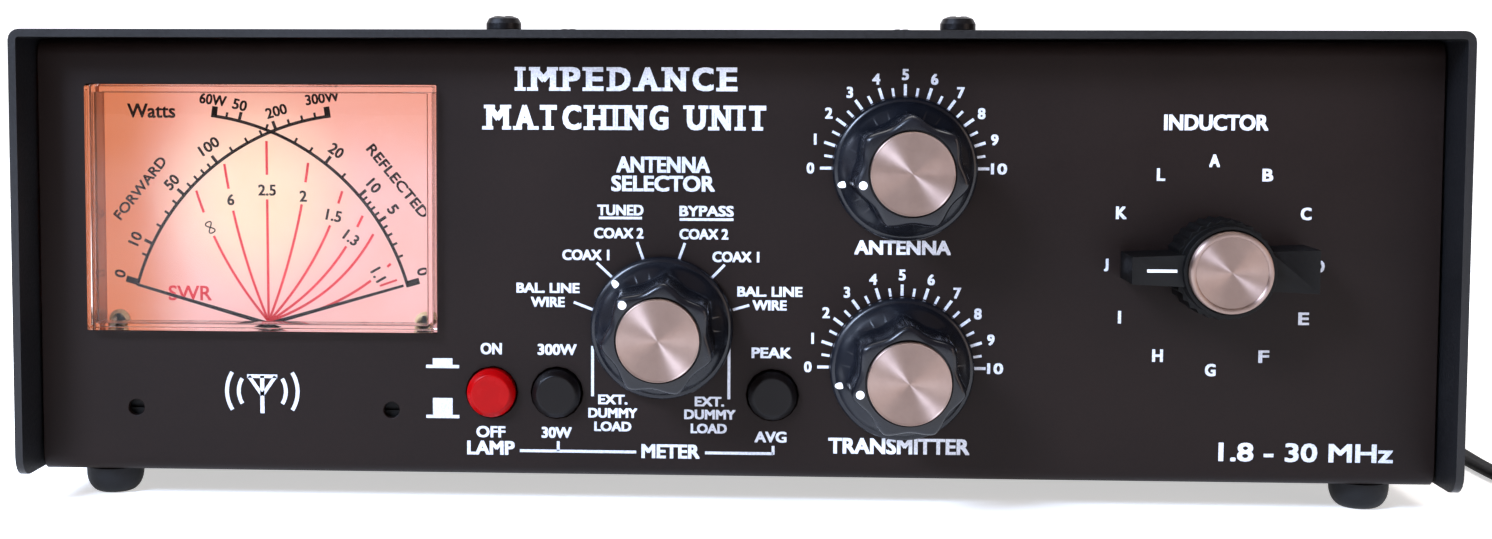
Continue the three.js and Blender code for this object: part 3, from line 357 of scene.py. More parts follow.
def refined(node, material, width=0.3, segments=2, angle=32):
    """The CAD node's own shape with its facets merged and its edges rounded."""
    mesh = frame["nodes"][node].data.copy()
    shape = bmesh.new()
    shape.from_mesh(mesh)
    bmesh.ops.remove_doubles(shape, verts=shape.verts, dist=2e-6)
    bmesh.ops.dissolve_limit(
        shape, angle_limit=math.radians(0.5), verts=shape.verts, edges=shape.edges
    )
    shape.to_mesh(mesh)
    shape.free()
    made = settle(node + "_finished", mesh, material, node, smooth=30)
    if width:
        eased(made, width, segments, angle)
    return replaced(made, node)


def recoat(material, *nodes):
    """Gives CAD nodes a material of their own."""
    for node in nodes:
        coated = frame["nodes"][node]
        coated.data.materials.clear()
        coated.data.materials.append(material)


def tube(name, path, section, material, like, flat=False):
    """Carries a section along a path: point = path + u side + v top, where side is level when flat.
    The first and last rings shrink to the path, which closes the ends.
    """
    path = np.asarray(path, float)
    along = np.gradient(path, axis=0)
    along /= np.linalg.norm(along, axis=1, keepdims=True)
    guide = np.array([0.0, 0.0, 1.0]) if flat else np.array([0.31, 0.22, 0.92])
    side = np.cross(along, guide)
    side /= np.linalg.norm(side, axis=1, keepdims=True)
    top = np.cross(side, along)
    u, v = np.asarray(section, float).T
    rings = path[:, None] + side[:, None] * u[None, :, None] + top[:, None] * v[None, :, None]
    ends = [np.repeat(path[k][None, None], len(u), 1) for k in (0, -1)]
    rings = np.concatenate([ends[0], rings, ends[1]])
    return piece(name, rings, grid_faces(len(rings), len(u)), material, like, None, 60)


def from_face(face, *profile):
    """(radius, distance behind a face) pairs as the (radius, y) pairs of a profile."""
    return [(radius, face + distance) for radius, distance in profile]


def disc(radius, count):
    angle = np.arange(count) * TAU / count
    return np.stack([radius * np.cos(angle), radius * np.sin(angle)], 1)


def rounded(half, corner, inset=0.0, count=7):
    """A rounded rectangle about the origin, four quarter circles joined, drawn in by an inset."""
    half = np.asarray(half, float) - inset
    corner = max(corner - inset, 0.05)
    quarter = np.linspace(0, math.pi / 2, count)
    angle = (np.arange(4)[:, None] * math.pi / 2 + quarter).ravel()
    sign = np.repeat([(1, 1), (-1, 1), (-1, -1), (1, -1)], count, 0)
    return sign * (half - corner) + corner * np.stack([np.cos(angle), np.sin(angle)], 1)


def slab(name, at, half, corner, rows, material, like, along="y"):
    """A rounded plate carried along one axis: each row draws its outline in by an inset at a depth,
    and both ends close on the middle.
    """
    outlines = [rounded(half, corner, inset) for inset, _ in rows]
    flat = np.array([outlines[0] * 0, *outlines, outlines[-1] * 0]) + at
    deep = np.array([rows[0][1], *(depth for _, depth in rows), rows[-1][1]])[:, None] + flat[..., 0] * 0
    order = {"x": (deep, flat[..., 0], flat[..., 1]), "y": (flat[..., 0], deep, flat[..., 1])}
    points = np.stack(order.get(along, (flat[..., 0], flat[..., 1], deep)), -1)
    return piece(name, points, grid_faces(*flat.shape[:2]), material, like)


def turned_ring(name, rows, at, material, like, sides=48, corners=0):
    """A ring whose (radius, y) rows close on themselves. With corners, rows of the outer radius become
    a polygon: radius = apothem / cos(a mod (tau / corners) - pi / corners).
    """
    angle = np.arange(sides) * TAU / sides
    rows = np.array(rows, float)
    shape = 1 / np.cos(angle % (TAU / corners) - math.pi / corners) if corners else np.ones(sides)
    outer = (rows[:, :1] > rows[:, 0].max() - 0.6) & (corners > 0)
    r = rows[:, :1] * np.where(outer, shape, 1.0)
    points = about_y(at, r, rows[:, 1:], angle)
    return piece(name, points, grid_faces(len(rows), sides, closed_rows=True), material, like)


# ------------------------------------------------------------------ lamp lead
FLEX = (4.6, 2.4)  # width and thickness of the flat twin flex
COIL_AT = middle("power_cord_coil")[:2]
TURN_PITCH, LAYER_PITCH, MIDDLE_TURN = 4.7, 2.55, 26.0
PLUG = span("power_plug")
LEAD_Z = FLEX[1] / 2 + 0.05


def smooth_path(points, steps):
    """A centripetal Catmull-Rom curve: knots are spaced by the square root of each chord."""
    points = np.asarray(points, float)
    points = np.vstack([2 * points[0] - points[1], points, 2 * points[-1] - points[-2]])
    chord = np.sqrt(np.linalg.norm(np.diff(points, axis=0), axis=1))
    knot = np.concatenate([[0], np.cumsum(chord)])
    pieces_of_curve = []
    for i in range(1, len(points) - 2):
        t = np.linspace(knot[i], knot[i + 1], steps, endpoint=False)[:, None]
        t0, t1, t2, t3 = knot[i - 1 : i + 3]
        p0, p1, p2, p3 = points[i - 1 : i + 3]
        a1 = (t1 - t) / (t1 - t0) * p0 + (t - t0) / (t1 - t0) * p1
        a2 = (t2 - t) / (t2 - t1) * p1 + (t - t1) / (t2 - t1) * p2
        a3 = (t3 - t) / (t3 - t2) * p2 + (t - t2) / (t3 - t2) * p3
        b1 = (t2 - t) / (t2 - t0) * a1 + (t - t0) / (t2 - t0) * a2
        b2 = (t3 - t) / (t3 - t1) * a2 + (t - t1) / (t3 - t1) * a3
        pieces_of_curve.append((t2 - t) / (t2 - t1) * b1 + (t - t1) / (t2 - t1) * b2)
    return np.vstack([*pieces_of_curve, points[-2]])


def lead_route():
    """From the plug down to the table, round the rear corner, forward along the right side, then
    four turns inwards and four outwards above them, and off to the adapter's strain relief.
    """
    x, z = middle("power_plug")[0], middle("power_plug")[2]
    y = PLUG[1][1]
    run = [
        (x, y, z), (x, y + 7.3, z - 0.6), (x, y + 14.3, z - 3.4), (x, y + 21.3, z - 8.4), (x, y + 28.3, z - 14.4),
        (x, y + 34.8, z - 18.8), (x + 0.4, y + 41.3, 1.4), (x + 2.5, y + 48.3, LEAD_Z), (x + 8, y + 55.8, LEAD_Z),
        (x + 16.5, y + 60.3, LEAD_Z), (x + 26, y + 58.8, LEAD_Z), (x + 33.5, y + 52.3, LEAD_Z),
        (x + 38, y + 42.3, LEAD_Z), (x + 40, y + 28.3, LEAD_Z), (x + 40.6, y + 8.3, LEAD_Z),
        (x + 40.4, 105, LEAD_Z), (x + 39.6, 80, LEAD_Z), (x + 39.2, 55, LEAD_Z), (x + 39.3, 30, LEAD_Z),
        (x + 39.6, 5, LEAD_Z), (x + 39.4, -18, LEAD_Z), (x + 39, -36, LEAD_Z), (x + 40.2, -51, LEAD_Z),
        (x + 45, -64.5, LEAD_Z),
    ]
    widest = MIDDLE_TURN + 1.5 * TURN_PITCH
    start = math.atan2(-64.5 - COIL_AT[1], x + 45 - COIL_AT[0])
    turns = np.arange(1, 8 * 16 + 1) / 16
    step = np.clip(turns, 0, 4) - np.clip(turns - 4, 0, 4)
    radius = widest + 0.2 - TURN_PITCH * np.clip(step - 0.5, 0, 3)
    height = LEAD_Z + LAYER_PITCH * np.clip((turns - 3.75) / 0.5, 0, 1)
    angle = start + TAU * turns
    ring = np.stack([COIL_AT[0] + radius * np.cos(angle), COIL_AT[1] + radius * np.sin(angle), height], 1)
    return run, ring, start, widest


run, ring, start_angle, widest_turn = lead_route()
relief_tip = np.array([middle("power_adapter")[0], span("power_adapter")[0][1], 4.6])
spare = np.arange(1, 60) / 32 * TAU
last = start_angle + spare
stop = int(np.argmax(last > math.ceil((start_angle) / TAU) * TAU))
exit_ring = np.stack(
    [
        COIL_AT[0] + (widest_turn + 0.2) * np.cos(last[: stop + 1]),
        COIL_AT[1] + (widest_turn + 0.2) * np.sin(last[: stop + 1]),
        np.full(stop + 1, LEAD_Z + LAYER_PITCH),
    ],
    1,
)[1:]
tail = [relief_tip + (0.1, -9, -0.3), relief_tip + (0, 0.5, 0)]
lead_line = smooth_path([*run, *ring, *exit_ring, *tail], 6)
angles = np.arange(20) * TAU / 20
twin = np.stack([FLEX[0] / 2 * np.cos(angles), FLEX[1] / 2 * np.sin(angles)], 1)
twin[:, 1] *= 1 - 0.24 * np.exp(-((twin[:, 0] / 0.62) ** 2))
lead = tube("lamp_lead", lead_line, twin, FLEX_PVC, "power_cord", flat=True)
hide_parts("power_cord", "power_cord_coil")


def lead_tie():
    """A wire tie round the coil: a rounded band in the plane of the radius and z, 3.2 wide along the
    turns, its outside 0.45 from its inside.
    """
    angle = math.radians(200)
    out = np.array([math.cos(angle), math.sin(angle)])
    reach = 1.5 * TURN_PITCH + FLEX[0] / 2 + 0.5
    top = LEAD_Z + LAYER_PITCH + FLEX[1] / 2 + 0.35
    inner = rounded((reach, top / 2 - 0.05), 1.6)
    outer = rounded((reach + 0.45, top / 2 + 0.2), 2.0)
    rings = []
    for outline, along in ((inner, -1.6), (outer, -1.6), (outer, 1.6), (inner, 1.6)):
        place = COIL_AT + np.outer(MIDDLE_TURN + outline[:, 0], out) + along * np.array([-out[1], out[0]])
        rings.append(np.column_stack([place, np.maximum(outline[:, 1] + top / 2, 0.02)]))
    return piece("lead_tie", np.array(rings), grid_faces(4, len(inner), closed_rows=True), FLEX_PVC, "power_cord")


# The 12 volt inlet: a moulded body, a nickel hexagon nut, and the plug with its ribbed grip and relief.
refined("power_jack", GRAINED_ABS, 0.12)
JACK = np.array([118.0, 22.0])
jack_nut = from_face(SEAT, (4.05, -0.02), (5.0, -0.02), (5.0, 2.0), (4.7, 2.12), (4.05, 2.12))
turned_ring("power_jack_nut", jack_nut, JACK, NICKEL, "power_jack", 48, 6)


def plug_profile():
    """Grip and relief radius along y: straight pieces, less a groove of raised cosine every 1.7 mm on
    the grip and every 2.3 mm on the relief.
    """
    y = np.linspace(2.8, 39.8, 149)
    base = np.interp(y, (2.8, 3.3, 24.5, 26.8, 27.4, 39.8), (4.3, 4.6, 4.6, 3.9, 3.5, 2.55))
    grip = 0.26 * (0.5 - 0.5 * np.cos(TAU * (y - 7) / 1.7)) ** 2 * ((y > 7) & (y < 7 + 1.7 * 9))
    relief = 0.45 * np.clip(0.5 - np.cos(TAU * (y - 28) / 2.3), 0, 1) * ((y > 28) & (y < 28 + 2.3 * 5))
    return [(0, REAR + 2.8), *zip(base - grip - relief, REAR + y), (0, REAR + 39.8)]


plug_body = turned("power_plug_body", plug_profile(), JACK, GRAINED_ABS, "power_plug", 40, 45)
replaced(plug_body, "power_plug")
barrel = from_face(REAR, (0, -6.9), (2.4, -6.9), (2.7, -6.5), (2.7, 3.0), (0, 3.0))
plug_barrel = turned("power_plug_barrel", barrel, JACK, NICKEL, "power_plug", 28)

# The wall adapter: two moulded halves with a parting line, a raised pad, two blades and a ribbed relief.
low, high = span("power_adapter")
relief_length = 18  # in front of the shell
relief_end = low[1] + 19  # 1 mm inside it
adapter_at = np.array([(low[0] + high[0]) / 2, (low[1] + relief_length + high[1]) / 2])
adapter_half = ((high[0] - low[0]) / 2, (high[1] - low[1] - relief_length) / 2)
blade_y = low[1] + relief_length + (high[1] - low[1] - relief_length) * 0.62
shell_rows = [
    (1.6, 0.0), (0.5, 0.4), (0, 1.4), (0, 14.2), (0.4, 14.5), (0.4, 15.1), (0, 15.4), (0, 28.4), (0.5, 29.5),
    (1.7, 30.0),
]
pad_rows = [(0, 29.6), (0, 30.4), (0.3, 30.6)]
blade_rows = [(0, 30.2), (0, 44.6), (0.25, 45.6), (0.6, 46.0)]
adapter = []
for name, place, half, corner, rows, material in (
    ("shell", adapter_at, adapter_half, 5.0, shell_rows, GRAINED_ABS),
    ("pad", (adapter_at[0], blade_y), (12.5, 8.5), 4.0, pad_rows, GRAINED_ABS),
    ("blade_left", (adapter_at[0] - 6.35, blade_y), (0.75, 3.15), 0.3, blade_rows, NICKEL),
    ("blade_right", (adapter_at[0] + 6.35, blade_y), (0.75, 3.15), 0.3, blade_rows, NICKEL),
):
    adapter.append(slab("power_adapter_" + name, place, half, corner, rows, material, "power_adapter", "z"))
replaced(adapter[0], "power_adapter")
relief_y = np.linspace(low[1], relief_end, 77)
groove = 0.5 * np.clip(0.4 - np.cos(TAU * (relief_y - low[1]) / 2.6), 0, 1)
relief_r = np.interp(relief_y, (low[1], relief_end), (2.9, 4.5)) - groove
relief = [(0, relief_y[0]), *zip(relief_r, relief_y), (0, relief_y[-1])]
adapter.append(
    turned("power_adapter_relief", relief, (adapter_at[0], 4.6), GRAINED_ABS, "power_adapter", 32, 45)
)

lead_tie()

# ------------------------------------------------------------------ stage and light
def stage_surface(name, points, faces, colour):
    mesh = bpy.data.meshes.new(name)
    mesh.from_pydata((np.asarray(points) * MM).tolist(), [], faces)
    made = bpy.data.objects.new(name, mesh)
    glow = {"Emission_Color": linear("ffffff"), "Emission_Strength": 0.55}
    made.data.materials.append(finish(name + "_paper", colour, colour, (0.8, 0.9), 5.0, 0.0, **glow))
    scene.collection.objects.link(made)


curve = np.linspace(0, math.pi / 2, 12)
back_y = 1900 + 600 * np.sin(curve)
back_z = -0.02 + 600 * (1 - np.cos(curve))
profile = np.array([(-3000, -0.02), *zip(back_y, back_z), (2500, 3500)])
sweep = np.array([[(x, y, z) for y, z in profile] for x in (-4000, 4000)])
floor_faces = grid_faces(2, len(profile), closed_columns=False).tolist()
stage_surface("floor", sweep.reshape(-1, 3), floor_faces, "f2f2f2")


def soft_light(name, place, aim, size, power, colour="ffffff"):
    lamp = bpy.data.lights.new(name, "AREA")
    lamp.shape = "RECTANGLE"
    lamp.size, lamp.size_y = size[0] * MM, size[1] * MM
    lamp.energy = power
    lamp.color = linear(colour)[:3]
    made = bpy.data.objects.new(name, lamp)
    direction = Vector(aim) - Vector(place)
    turn = direction.to_track_quat("-Z", "Y").to_matrix().to_4x4()
    made.matrix_world = Matrix.Translation(Vector(place) * MM) @ turn
    scene.collection.objects.link(made)


soft_light("key", (-800, -1000, 850), (0, -60, 40), (420, 420), 39, "cbdfff")
soft_light("side", (-1250, -420, 900), (0, -60, 40), (500, 600), 15, "d3e2ff")
soft_light("fill", (1100, -900, 350), (0, -60, 40), (500, 700), 3, "ffe4d2")
soft_light("top", (0, 200, 1500), (0, 0, 40), (1400, 900), 20)
world = bpy.data.worlds.new("studio")
world.use_nodes = True
world.node_tree.nodes["Background"].inputs["Color"].default_value = linear("efd2c4")
world.node_tree.nodes["Background"].inputs["Strength"].default_value = 0.30
scene.world = world
scene.view_settings.view_transform = "Standard"


# ------------------------------------------------------------------ case
refined("cover", COVER_PAINT, 0.4)
refined("chassis", PANEL_PAINT, 0.3)
CORNERS = ("front_left", "front_right", "rear_left", "rear_right")
for corner in CORNERS:
    refined("cover_screw_" + corner, BLACK_OXIDE, 0.12)

for corner in CORNERS:
    node = "foot_" + corner
    low, high = span(node)
    r, top = (high[0] - low[0]) / 2, high[2]
    bend = np.linspace(0, math.pi / 2, 10)
    dome = [(2.8 + (r - 2.8) * math.sin(b), (top - 1) * (1 - math.cos(b))) for b in bend]
    foot = upright(node + "_dome", [(0, 0), *dome, (r, top), (0, top)], middle(node)[:2], RUBBER, node)
    replaced(foot, node)


# ------------------------------------------------------------------ printing
def glyph(text, weight):
    """One word as flat faces in x and z, its size as the font draws it, its outline moved out by weight."""
    curve = bpy.data.curves.new("word", "FONT")
    curve.body = text
    curve.offset = weight
    curve.resolution_u = 3
    word = bpy.data.objects.new("word", curve)
    scene.collection.objects.link(word)
    shown = word.evaluated_get(bpy.context.evaluated_depsgraph_get())
    mesh = bpy.data.meshes.new_from_object(shown)
    points = np.zeros(len(mesh.vertices) * 3)
    mesh.vertices.foreach_get("co", points)
    faces = [list(face.vertices) for face in mesh.polygons]
    bpy.data.objects.remove(word)
    bpy.data.meshes.remove(mesh)
    bpy.data.curves.remove(curve)
    return points.reshape(-1, 3)[:, :2], faces


def word(text, x, z, width, height, turn=0.0, weight=0.0):
    """A word drawn to an exact height and, unless width is 0, width, turned about its middle."""
    flat, faces = glyph(text, weight)
    low, high = flat.min(0), flat.max(0)
    scale = height / (high - low)[1]
    flat = (flat - (low + high) / 2) * (width / (high - low)[0] if width else scale, scale)
    q = math.radians(turn)
    flat = flat @ np.array([[math.cos(q), math.sin(q)], [-math.sin(q), math.cos(q)]])
    return flat + (x, z), faces


def bold(parts, shift):
    """Each shape four times, moved by half the shift to the corners of a low box, each copy 0.008
    in front of the last, which thickens thin letters evenly.
    """
    corners = ((-1, -0.7), (1, -0.7), (-1, 0.7), (1, 0.7))
    return [
        (flat + np.multiply(corner, shift / 2), faces, 0.03 + 0.008 * i)
        for flat, faces in parts
        for i, corner in enumerate(corners)
    ]


def stroke(path, width):
    """A ribbon of one width along a path: each point moves half the width to both sides."""
    path = np.asarray(path, float)
    along = np.gradient(path, axis=0)
    along /= np.linalg.norm(along, axis=1, keepdims=True)
    side = np.stack([-along[:, 1], along[:, 0]], 1) * np.reshape(width, (-1, 1)) / 2
    points = np.stack([path - side, path + side], 1).reshape(-1, 2)
    i = np.arange(len(path) - 1)[:, None] * 2
    return points, np.hstack([i, i + 2, i + 3, i + 1]).tolist()


def arc(at, radius, start, end, width, steps=48):
    angle = np.radians(np.linspace(start, end, steps))
    return stroke(np.stack([at[0] + radius * np.cos(angle), at[1] + radius * np.sin(angle)], 1), width)


def spoke(at, inner, outer, angle, width):
    q = math.radians(angle)
    way = np.array([math.cos(q), math.sin(q)])
    return stroke([np.array(at) + way * inner, np.array(at) + way * outer], width)


def patch(corners):
    return np.asarray(corners, float), [list(range(len(corners)))]


def printed(name, parts, y, material, like, lift=0.04):
    """All the flat shapes of one printing, laid a little in front of a surface at y."""
    points, faces, count = [], [], 0
    for flat, shapes, *own in parts:
        rise = own[0] if own else lift
        points.append(np.column_stack([flat[:, 0], np.full(len(flat), y - rise), flat[:, 1]]))
        faces += [[index + count for index in shape] for shape in shapes]
        count += len(flat)
    mesh = bpy.data.meshes.new(name)
    mesh.from_pydata((np.vstack(points) * MM).tolist(), [], faces)
    made = settle(name, mesh, material, like)
    made.data.polygons.foreach_set("use_smooth", [False] * len(made.data.polygons))
    return made


# Where the feet and heads of each letter's stems are, as parts of its width and height.
SERIFS = {
    "I": ((0.5, 0), (0.5, 1)), "M": ((0.06, 0), (0.94, 0), (0.14, 1), (0.86, 1)), "P": ((0.12, 0), (0.12, 1)),
    "E": ((0.12, 0), (0.12, 1)), "D": ((0.12, 0), (0.12, 1)), "A": ((0.06, 0), (0.94, 0)),
    "N": ((0.1, 0), (0.1, 1), (0.9, 1)), "T": ((0.5, 0),), "H": ((0.1, 0), (0.1, 1), (0.9, 0), (0.9, 1)),
    "U": ((0.1, 1), (0.9, 1)), "C": (), "G": (),
}
SHARES = {"I": 0.5, "M": 1.2, "E": 0.84, "P": 0.84, "T": 0.9, " ": 0.5}


def slab_line(text, x, z, width, height):
    """A line of heavy letters with slab serifs: each letter takes its share of the width, and each
    serif is a bar across the foot or head of a stem.
    """
    shares = np.array([SHARES.get(letter, 1.0) for letter in text])
    starts = np.concatenate([[0], np.cumsum(shares)]) / shares.sum() * width + x - width / 2
    letters, bars = [], []
    for letter, left, right in zip(text, starts[:-1], starts[1:]):
        if letter == " ":
            continue
        wide, centre = (right - left) * 0.76, (left + right) / 2
        if letter == "I":
            wide = 0.95
        letters.append(word(letter, centre, z, wide - 0.5, height - 0.34))
        for at, high in SERIFS[letter]:
            bar_x, bar_z = centre + (at - 0.5) * wide, z + (high - 0.5) * (height - 0.66)
            bars.append((*stroke([(bar_x - 1.05, bar_z), (bar_x + 1.05, bar_z)], 0.66), 0.06))
    return bold(letters, 0.5) + bars


def words(rows, shift):
    return bold([word(*row) for row in rows], shift)


def panel_print():
    """Everything printed in white on the front panel, as words, ticks, brackets and symbols."""
    parts = slab_line("IMPEDANCE", -19.4, 81.8, 43.1, 4.5)
    parts += slab_line("MATCHING UNIT", -19.6, 74.5, 54.4, 4.7)
    parts += words([
        ("1.8 - 30 MHz", 109.0, 11.8, 32.1, 3.4), ("ANTENNA", -12.4, 65.6, 17.5, 2.85),
        ("SELECTOR", -12.4, 62.0, 19.4, 2.85), ("INDUCTOR", 91.1, 74.0, 19.0, 2.8),
        ("ANTENNA", 33.0, 50.1, 17.9, 2.5), ("TRANSMITTER", 32.7, 12.1, 26.5, 2.9),
        ("LAMP", -45.4, 10.9, 8.9, 2.5), ("METER", -10.8, 10.6, 10.9, 2.5),
    ], 0.3)
    parts += words([
        ("TUNED", -20.5, 56.9, 8.6, 1.9), ("BYPASS", -4.1, 56.8, 10.1, 1.9),
        ("COAX 2", -20.8, 52.5, 9.2, 1.9), ("COAX 2", -4.6, 52.4, 9.1, 1.9),
        ("COAX 1", -27.1, 48.3, 8.8, 1.9), ("COAX 1", 1.5, 48.1, 8.7, 1.9),
        ("BAL. LINE", -34.35, 41.9, 11.9, 1.8), ("BAL. LINE", 8.0, 41.5, 12.15, 1.8),
        ("WIRE", -34.4, 39.2, 6.3, 1.8), ("WIRE", 7.95, 38.9, 6.3, 1.8),
        ("EXT.", -21.9, 20.5, 5.4, 1.74), ("DUMMY", -21.9, 17.9, 9.2, 1.74), ("LOAD", -21.9, 15.3, 6.9, 1.74),
        ("EXT.", -3.4, 20.3, 5.4, 1.74), ("DUMMY", -3.3, 17.8, 9.6, 1.74), ("LOAD", -3.5, 15.1, 6.7, 1.74),
        ("ON", -45.3, 30.1, 3.9, 2.1), ("300W", -32.6, 30.05, 7.3, 2.0), ("PEAK", 8.4, 29.8, 7.4, 1.9),
        ("OFF", -45.4, 14.0, 5.4, 2.1), ("30W", -32.7, 14.0, 5.6, 2.0), ("AVG", 8.3, 13.6, 5.9, 2.0),
    ], 0.22)
    for x0, z0, x1, z1 in (
        (-24.6, 55.4, -16.4, 55.4), (-9.2, 55.2, 1.0, 55.2), (-17.3, 50.8, -15.8, 46.6), (-8.2, 50.7, -9.7, 46.5),
        (-25.0, 46.8, -21.5, 43.5), (-0.6, 46.6, -3.8, 43.3), (-29.4, 39.2, -25.5, 37.7), (4.1, 38.9, 1.0, 38.0),
    ):
        parts.append(stroke([(x0, z0), (x1, z1)], 0.5))
    for x0, z0, x1, z1 in (
        (-25.8, 30.8, -25.8, 21.1), (0.3, 31.2, 0.3, 20.8), (-39.8, 10.4, -17.4, 10.4), (-32.4, 10.4, -32.4, 12.3),
        (-4.2, 10.4, 8.8, 10.4), (8.8, 10.2, 8.8, 11.9),
    ):
        parts.append(stroke([(x0, z0), (x1, z1)], 0.55))
    for z0, rise in ((26.25, 1.9), (16.55, 3.9)):
        parts.append(patch([(-57.9, z0), (-51.5, z0), (-51.5, z0 + 0.62), (-57.9, z0 + 0.62)]))
        parts.append(patch([(-56.6, z0 + 0.6), (-52.8, z0 + 0.6), (-52.8, z0 + rise), (-56.6, z0 + rise)]))
    for name in ("antenna", "transmitter"):
        at = DIALS[name][[0, 2]]
        for i in range(21):
            outer, wide = (15.9, 0.56) if i % 2 == 0 else (15.3, 0.48)
            parts.append(spoke(at, 13.75, outer, 180 - 9 * i, wide))
        for number in range(11):
            q = math.radians(180 - 18 * number)
            x, z = at + 17.7 * np.array([math.cos(q), math.sin(q)])
            parts += bold([word(str(number), x, z, 2.8 if number == 10 else 0, 1.95)], 0.22)
    at = DIALS["inductor"][[0, 2]] + (0, -0.2)
    for i, letter in enumerate("ABCDEFGHIJKL"):
        q = math.radians(90 - 30 * i)
        x, z = at + 19.75 * np.array([math.cos(q), math.sin(q)])
        parts += bold([word(letter, x, z, 0 if letter in "IJL" else 1.75, 2.2)], 0.26)
    # A plain aerial symbol: a mast with a crossed head, and two rings of waves on each side.
    mark = (-89.8, 20.4)
    parts.append(stroke([(mark[0], 17.1), (mark[0], 24.4)], 0.8))
    parts.append(stroke([(mark[0] - 2.6, 24.3), (mark[0], 20.6)], 0.7))
    parts.append(stroke([(mark[0] + 2.6, 24.3), (mark[0], 20.6)], 0.7))
    parts.append(stroke([(mark[0] - 2.95, 24.3), (mark[0] + 2.95, 24.3)], 0.7))
    for radius in (4.6, 6.9):
        for way in (0, 180):
            parts.append(arc((mark[0], 21.4), radius, way - 32, way + 32, 0.75, 16))
    return parts


printed("panel_legends", panel_print(), PANEL, WHITE_INK, "chassis")


def rear_print():
    """Rear legends, mirrored in x so that they read from behind."""
    rows = [
        ("TRANSMITTER", 84, 66), ("COAX 1", 48, 66), ("COAX 2", 12, 66), ("DUMMY LOAD", -24, 66),
        ("WIRE", -56, 62), ("BALANCED LINE", -98, 62), ("GROUND", 118, 74), ("12 VDC", 118, 32),
    ]
    parts = []
    for text, x, z in rows:
        flat, faces = word(text, x, z, 1.62 * len(text), 2.1, weight=0.025)
        flat[:, 0] = 2 * x - flat[:, 0]
        parts.append((flat, faces))
    return parts


printed("rear_legends", rear_print(), REAR + 0.08, WHITE_INK, "chassis")


# ------------------------------------------------------------------ meter
PIVOT = 17.6
FORWARD_AT, REFLECTED_AT = (METER + PIVOT, 28.6), (METER - PIVOT, 28.6)
SWEEP, LAW, ARC = 65.9, 0.55, 46.15


def scale_print():
    """The two power scales: a reading's angle is the full sweep times (power / full power)^0.55."""
    parts = [arc(FORWARD_AT, ARC, 163.8, 97.9, 0.62), arc(REFLECTED_AT, ARC, 16.2, 82.1, 0.62)]
    for at, sign, zero, full, long_ones, short_ones in (
        (FORWARD_AT, -1, 163.8, 300, (10, 50, 100, 200), (5, 20, 30, 40, 60, 70, 80, 90, 125, 150, 175, 225, 250, 275)),
        (REFLECTED_AT, 1, 16.2, 60, (5, 10, 20, 50), (1, 2, 3, 4, 6, 7, 8, 9, 15, 25, 30, 40, 55)),
    ):
        for group, reach, width in ((long_ones, 1.8, 0.62), (short_ones, 1.15, 0.46)):
            for power in group:
                angle = zero + sign * SWEEP * (power / full) ** LAW
                parts.append(spoke(at, ARC, ARC + reach, angle, width))
        parts.append(spoke(at, ARC - 0.3, ARC + 2.5, zero, 1.25))
        parts.append(spoke(at, ARC - 0.3, ARC + 1.9, zero + sign * SWEEP, 1.15))
    parts += words([
        ("60W", -101.0, 77.5, 5.2, 2.0, -8), ("50", -95.7, 76.5, 2.7, 2.0, -14), ("200", -88.5, 75.3, 4.1, 2.0, 16),
        ("300W", -79.4, 77.9, 6.6, 1.95, 8), ("100", -101.9, 68.4, 4.1, 2.05, 34), ("50", -109.4, 61.3, 2.75, 2.05, 46),
        ("10", -116.8, 50.15, 2.4, 2.1, 66), ("0", -119.95, 43.15, 1.4, 2.1, 74), ("20", -76.7, 67.6, 2.75, 2.1, -36),
        ("10", -69.3, 60.75, 2.4, 2.1, -48), ("5", -65.6, 56.2, 1.35, 2.1, -54), ("0", -59.8, 44.0, 1.4, 2.1, -74),
    ], 0.17)
    parts += words([("Watts", -113.3, 75.3, 9.4, 2.7)], 0.18)
    parts += words([("FORWARD", -115.7, 60.1, 14.9, 1.95, 51), ("REFLECTED", -64.6, 61.7, 17.4, 1.95, -51)], 0.15)
    return parts


def ratio_print():
    """The standing-wave lines: each a parabola from the fan's foot to its top, broken at its number."""
    foot = np.array([-90.4, 33.9])
    lines, labels = [], []
    for top, bow, gap, label, tilt in (
        ((-104.55, 59.65), -1.5, (0.68, 0.84), None, 0), ((-98.9, 64.9), -1.0, (0.72, 0.84), "6", 0),
        ((-90.5, 69.45), 0.0, (0.69, 0.8), "2.5", 0), ((-82.3, 65.2), 1.0, (0.75, 0.87), "2", 0),
        ((-75.6, 59.7), 1.7, (0.77, 0.9), "1.5", -12), ((-71.6, 54.9), 2.2, (0.77, 0.9), "1.3", -36),
        ((-69.5, 51.3), 2.6, None, None, 0), ((-66.1, 45.5), 2.2, (0.82, 0.95), "1.1", -60),
    ):
        top = np.array(top)
        t = np.linspace(0, 1, 60)[:, None]
        along = top - foot
        side = np.array([along[1], -along[0]]) / np.linalg.norm(along)
        line = foot + along * t + side * bow * 4 * t * (1 - t)
        shown = [line] if gap is None else [line[t[:, 0] <= gap[0]], line[t[:, 0] >= gap[1]]]
        lines += [stroke(part, 0.5) for part in shown if len(part) > 1]
        if label:
            labels += bold([word(label, *line[int(np.mean(gap) * 59)], 0, 2.1, tilt)], 0.16)
    loops = np.linspace(0, TAU, 40)
    q = math.radians(-62)
    eight = np.stack([1.15 * np.sin(loops), 0.62 * np.sin(2 * loops)], 1)
    eight = eight @ np.array([[math.cos(q), math.sin(q)], [-math.sin(q), math.cos(q)]])
    lines += [stroke([(-68.3, 41.1), (-64.9, 42.3)], 0.42), *words([("SWR", -106.0, 39.4, 8.5, 2.9)], 0.14)]
    return lines, [*labels, stroke(eight + (-101.85, 52.4), 0.26)]


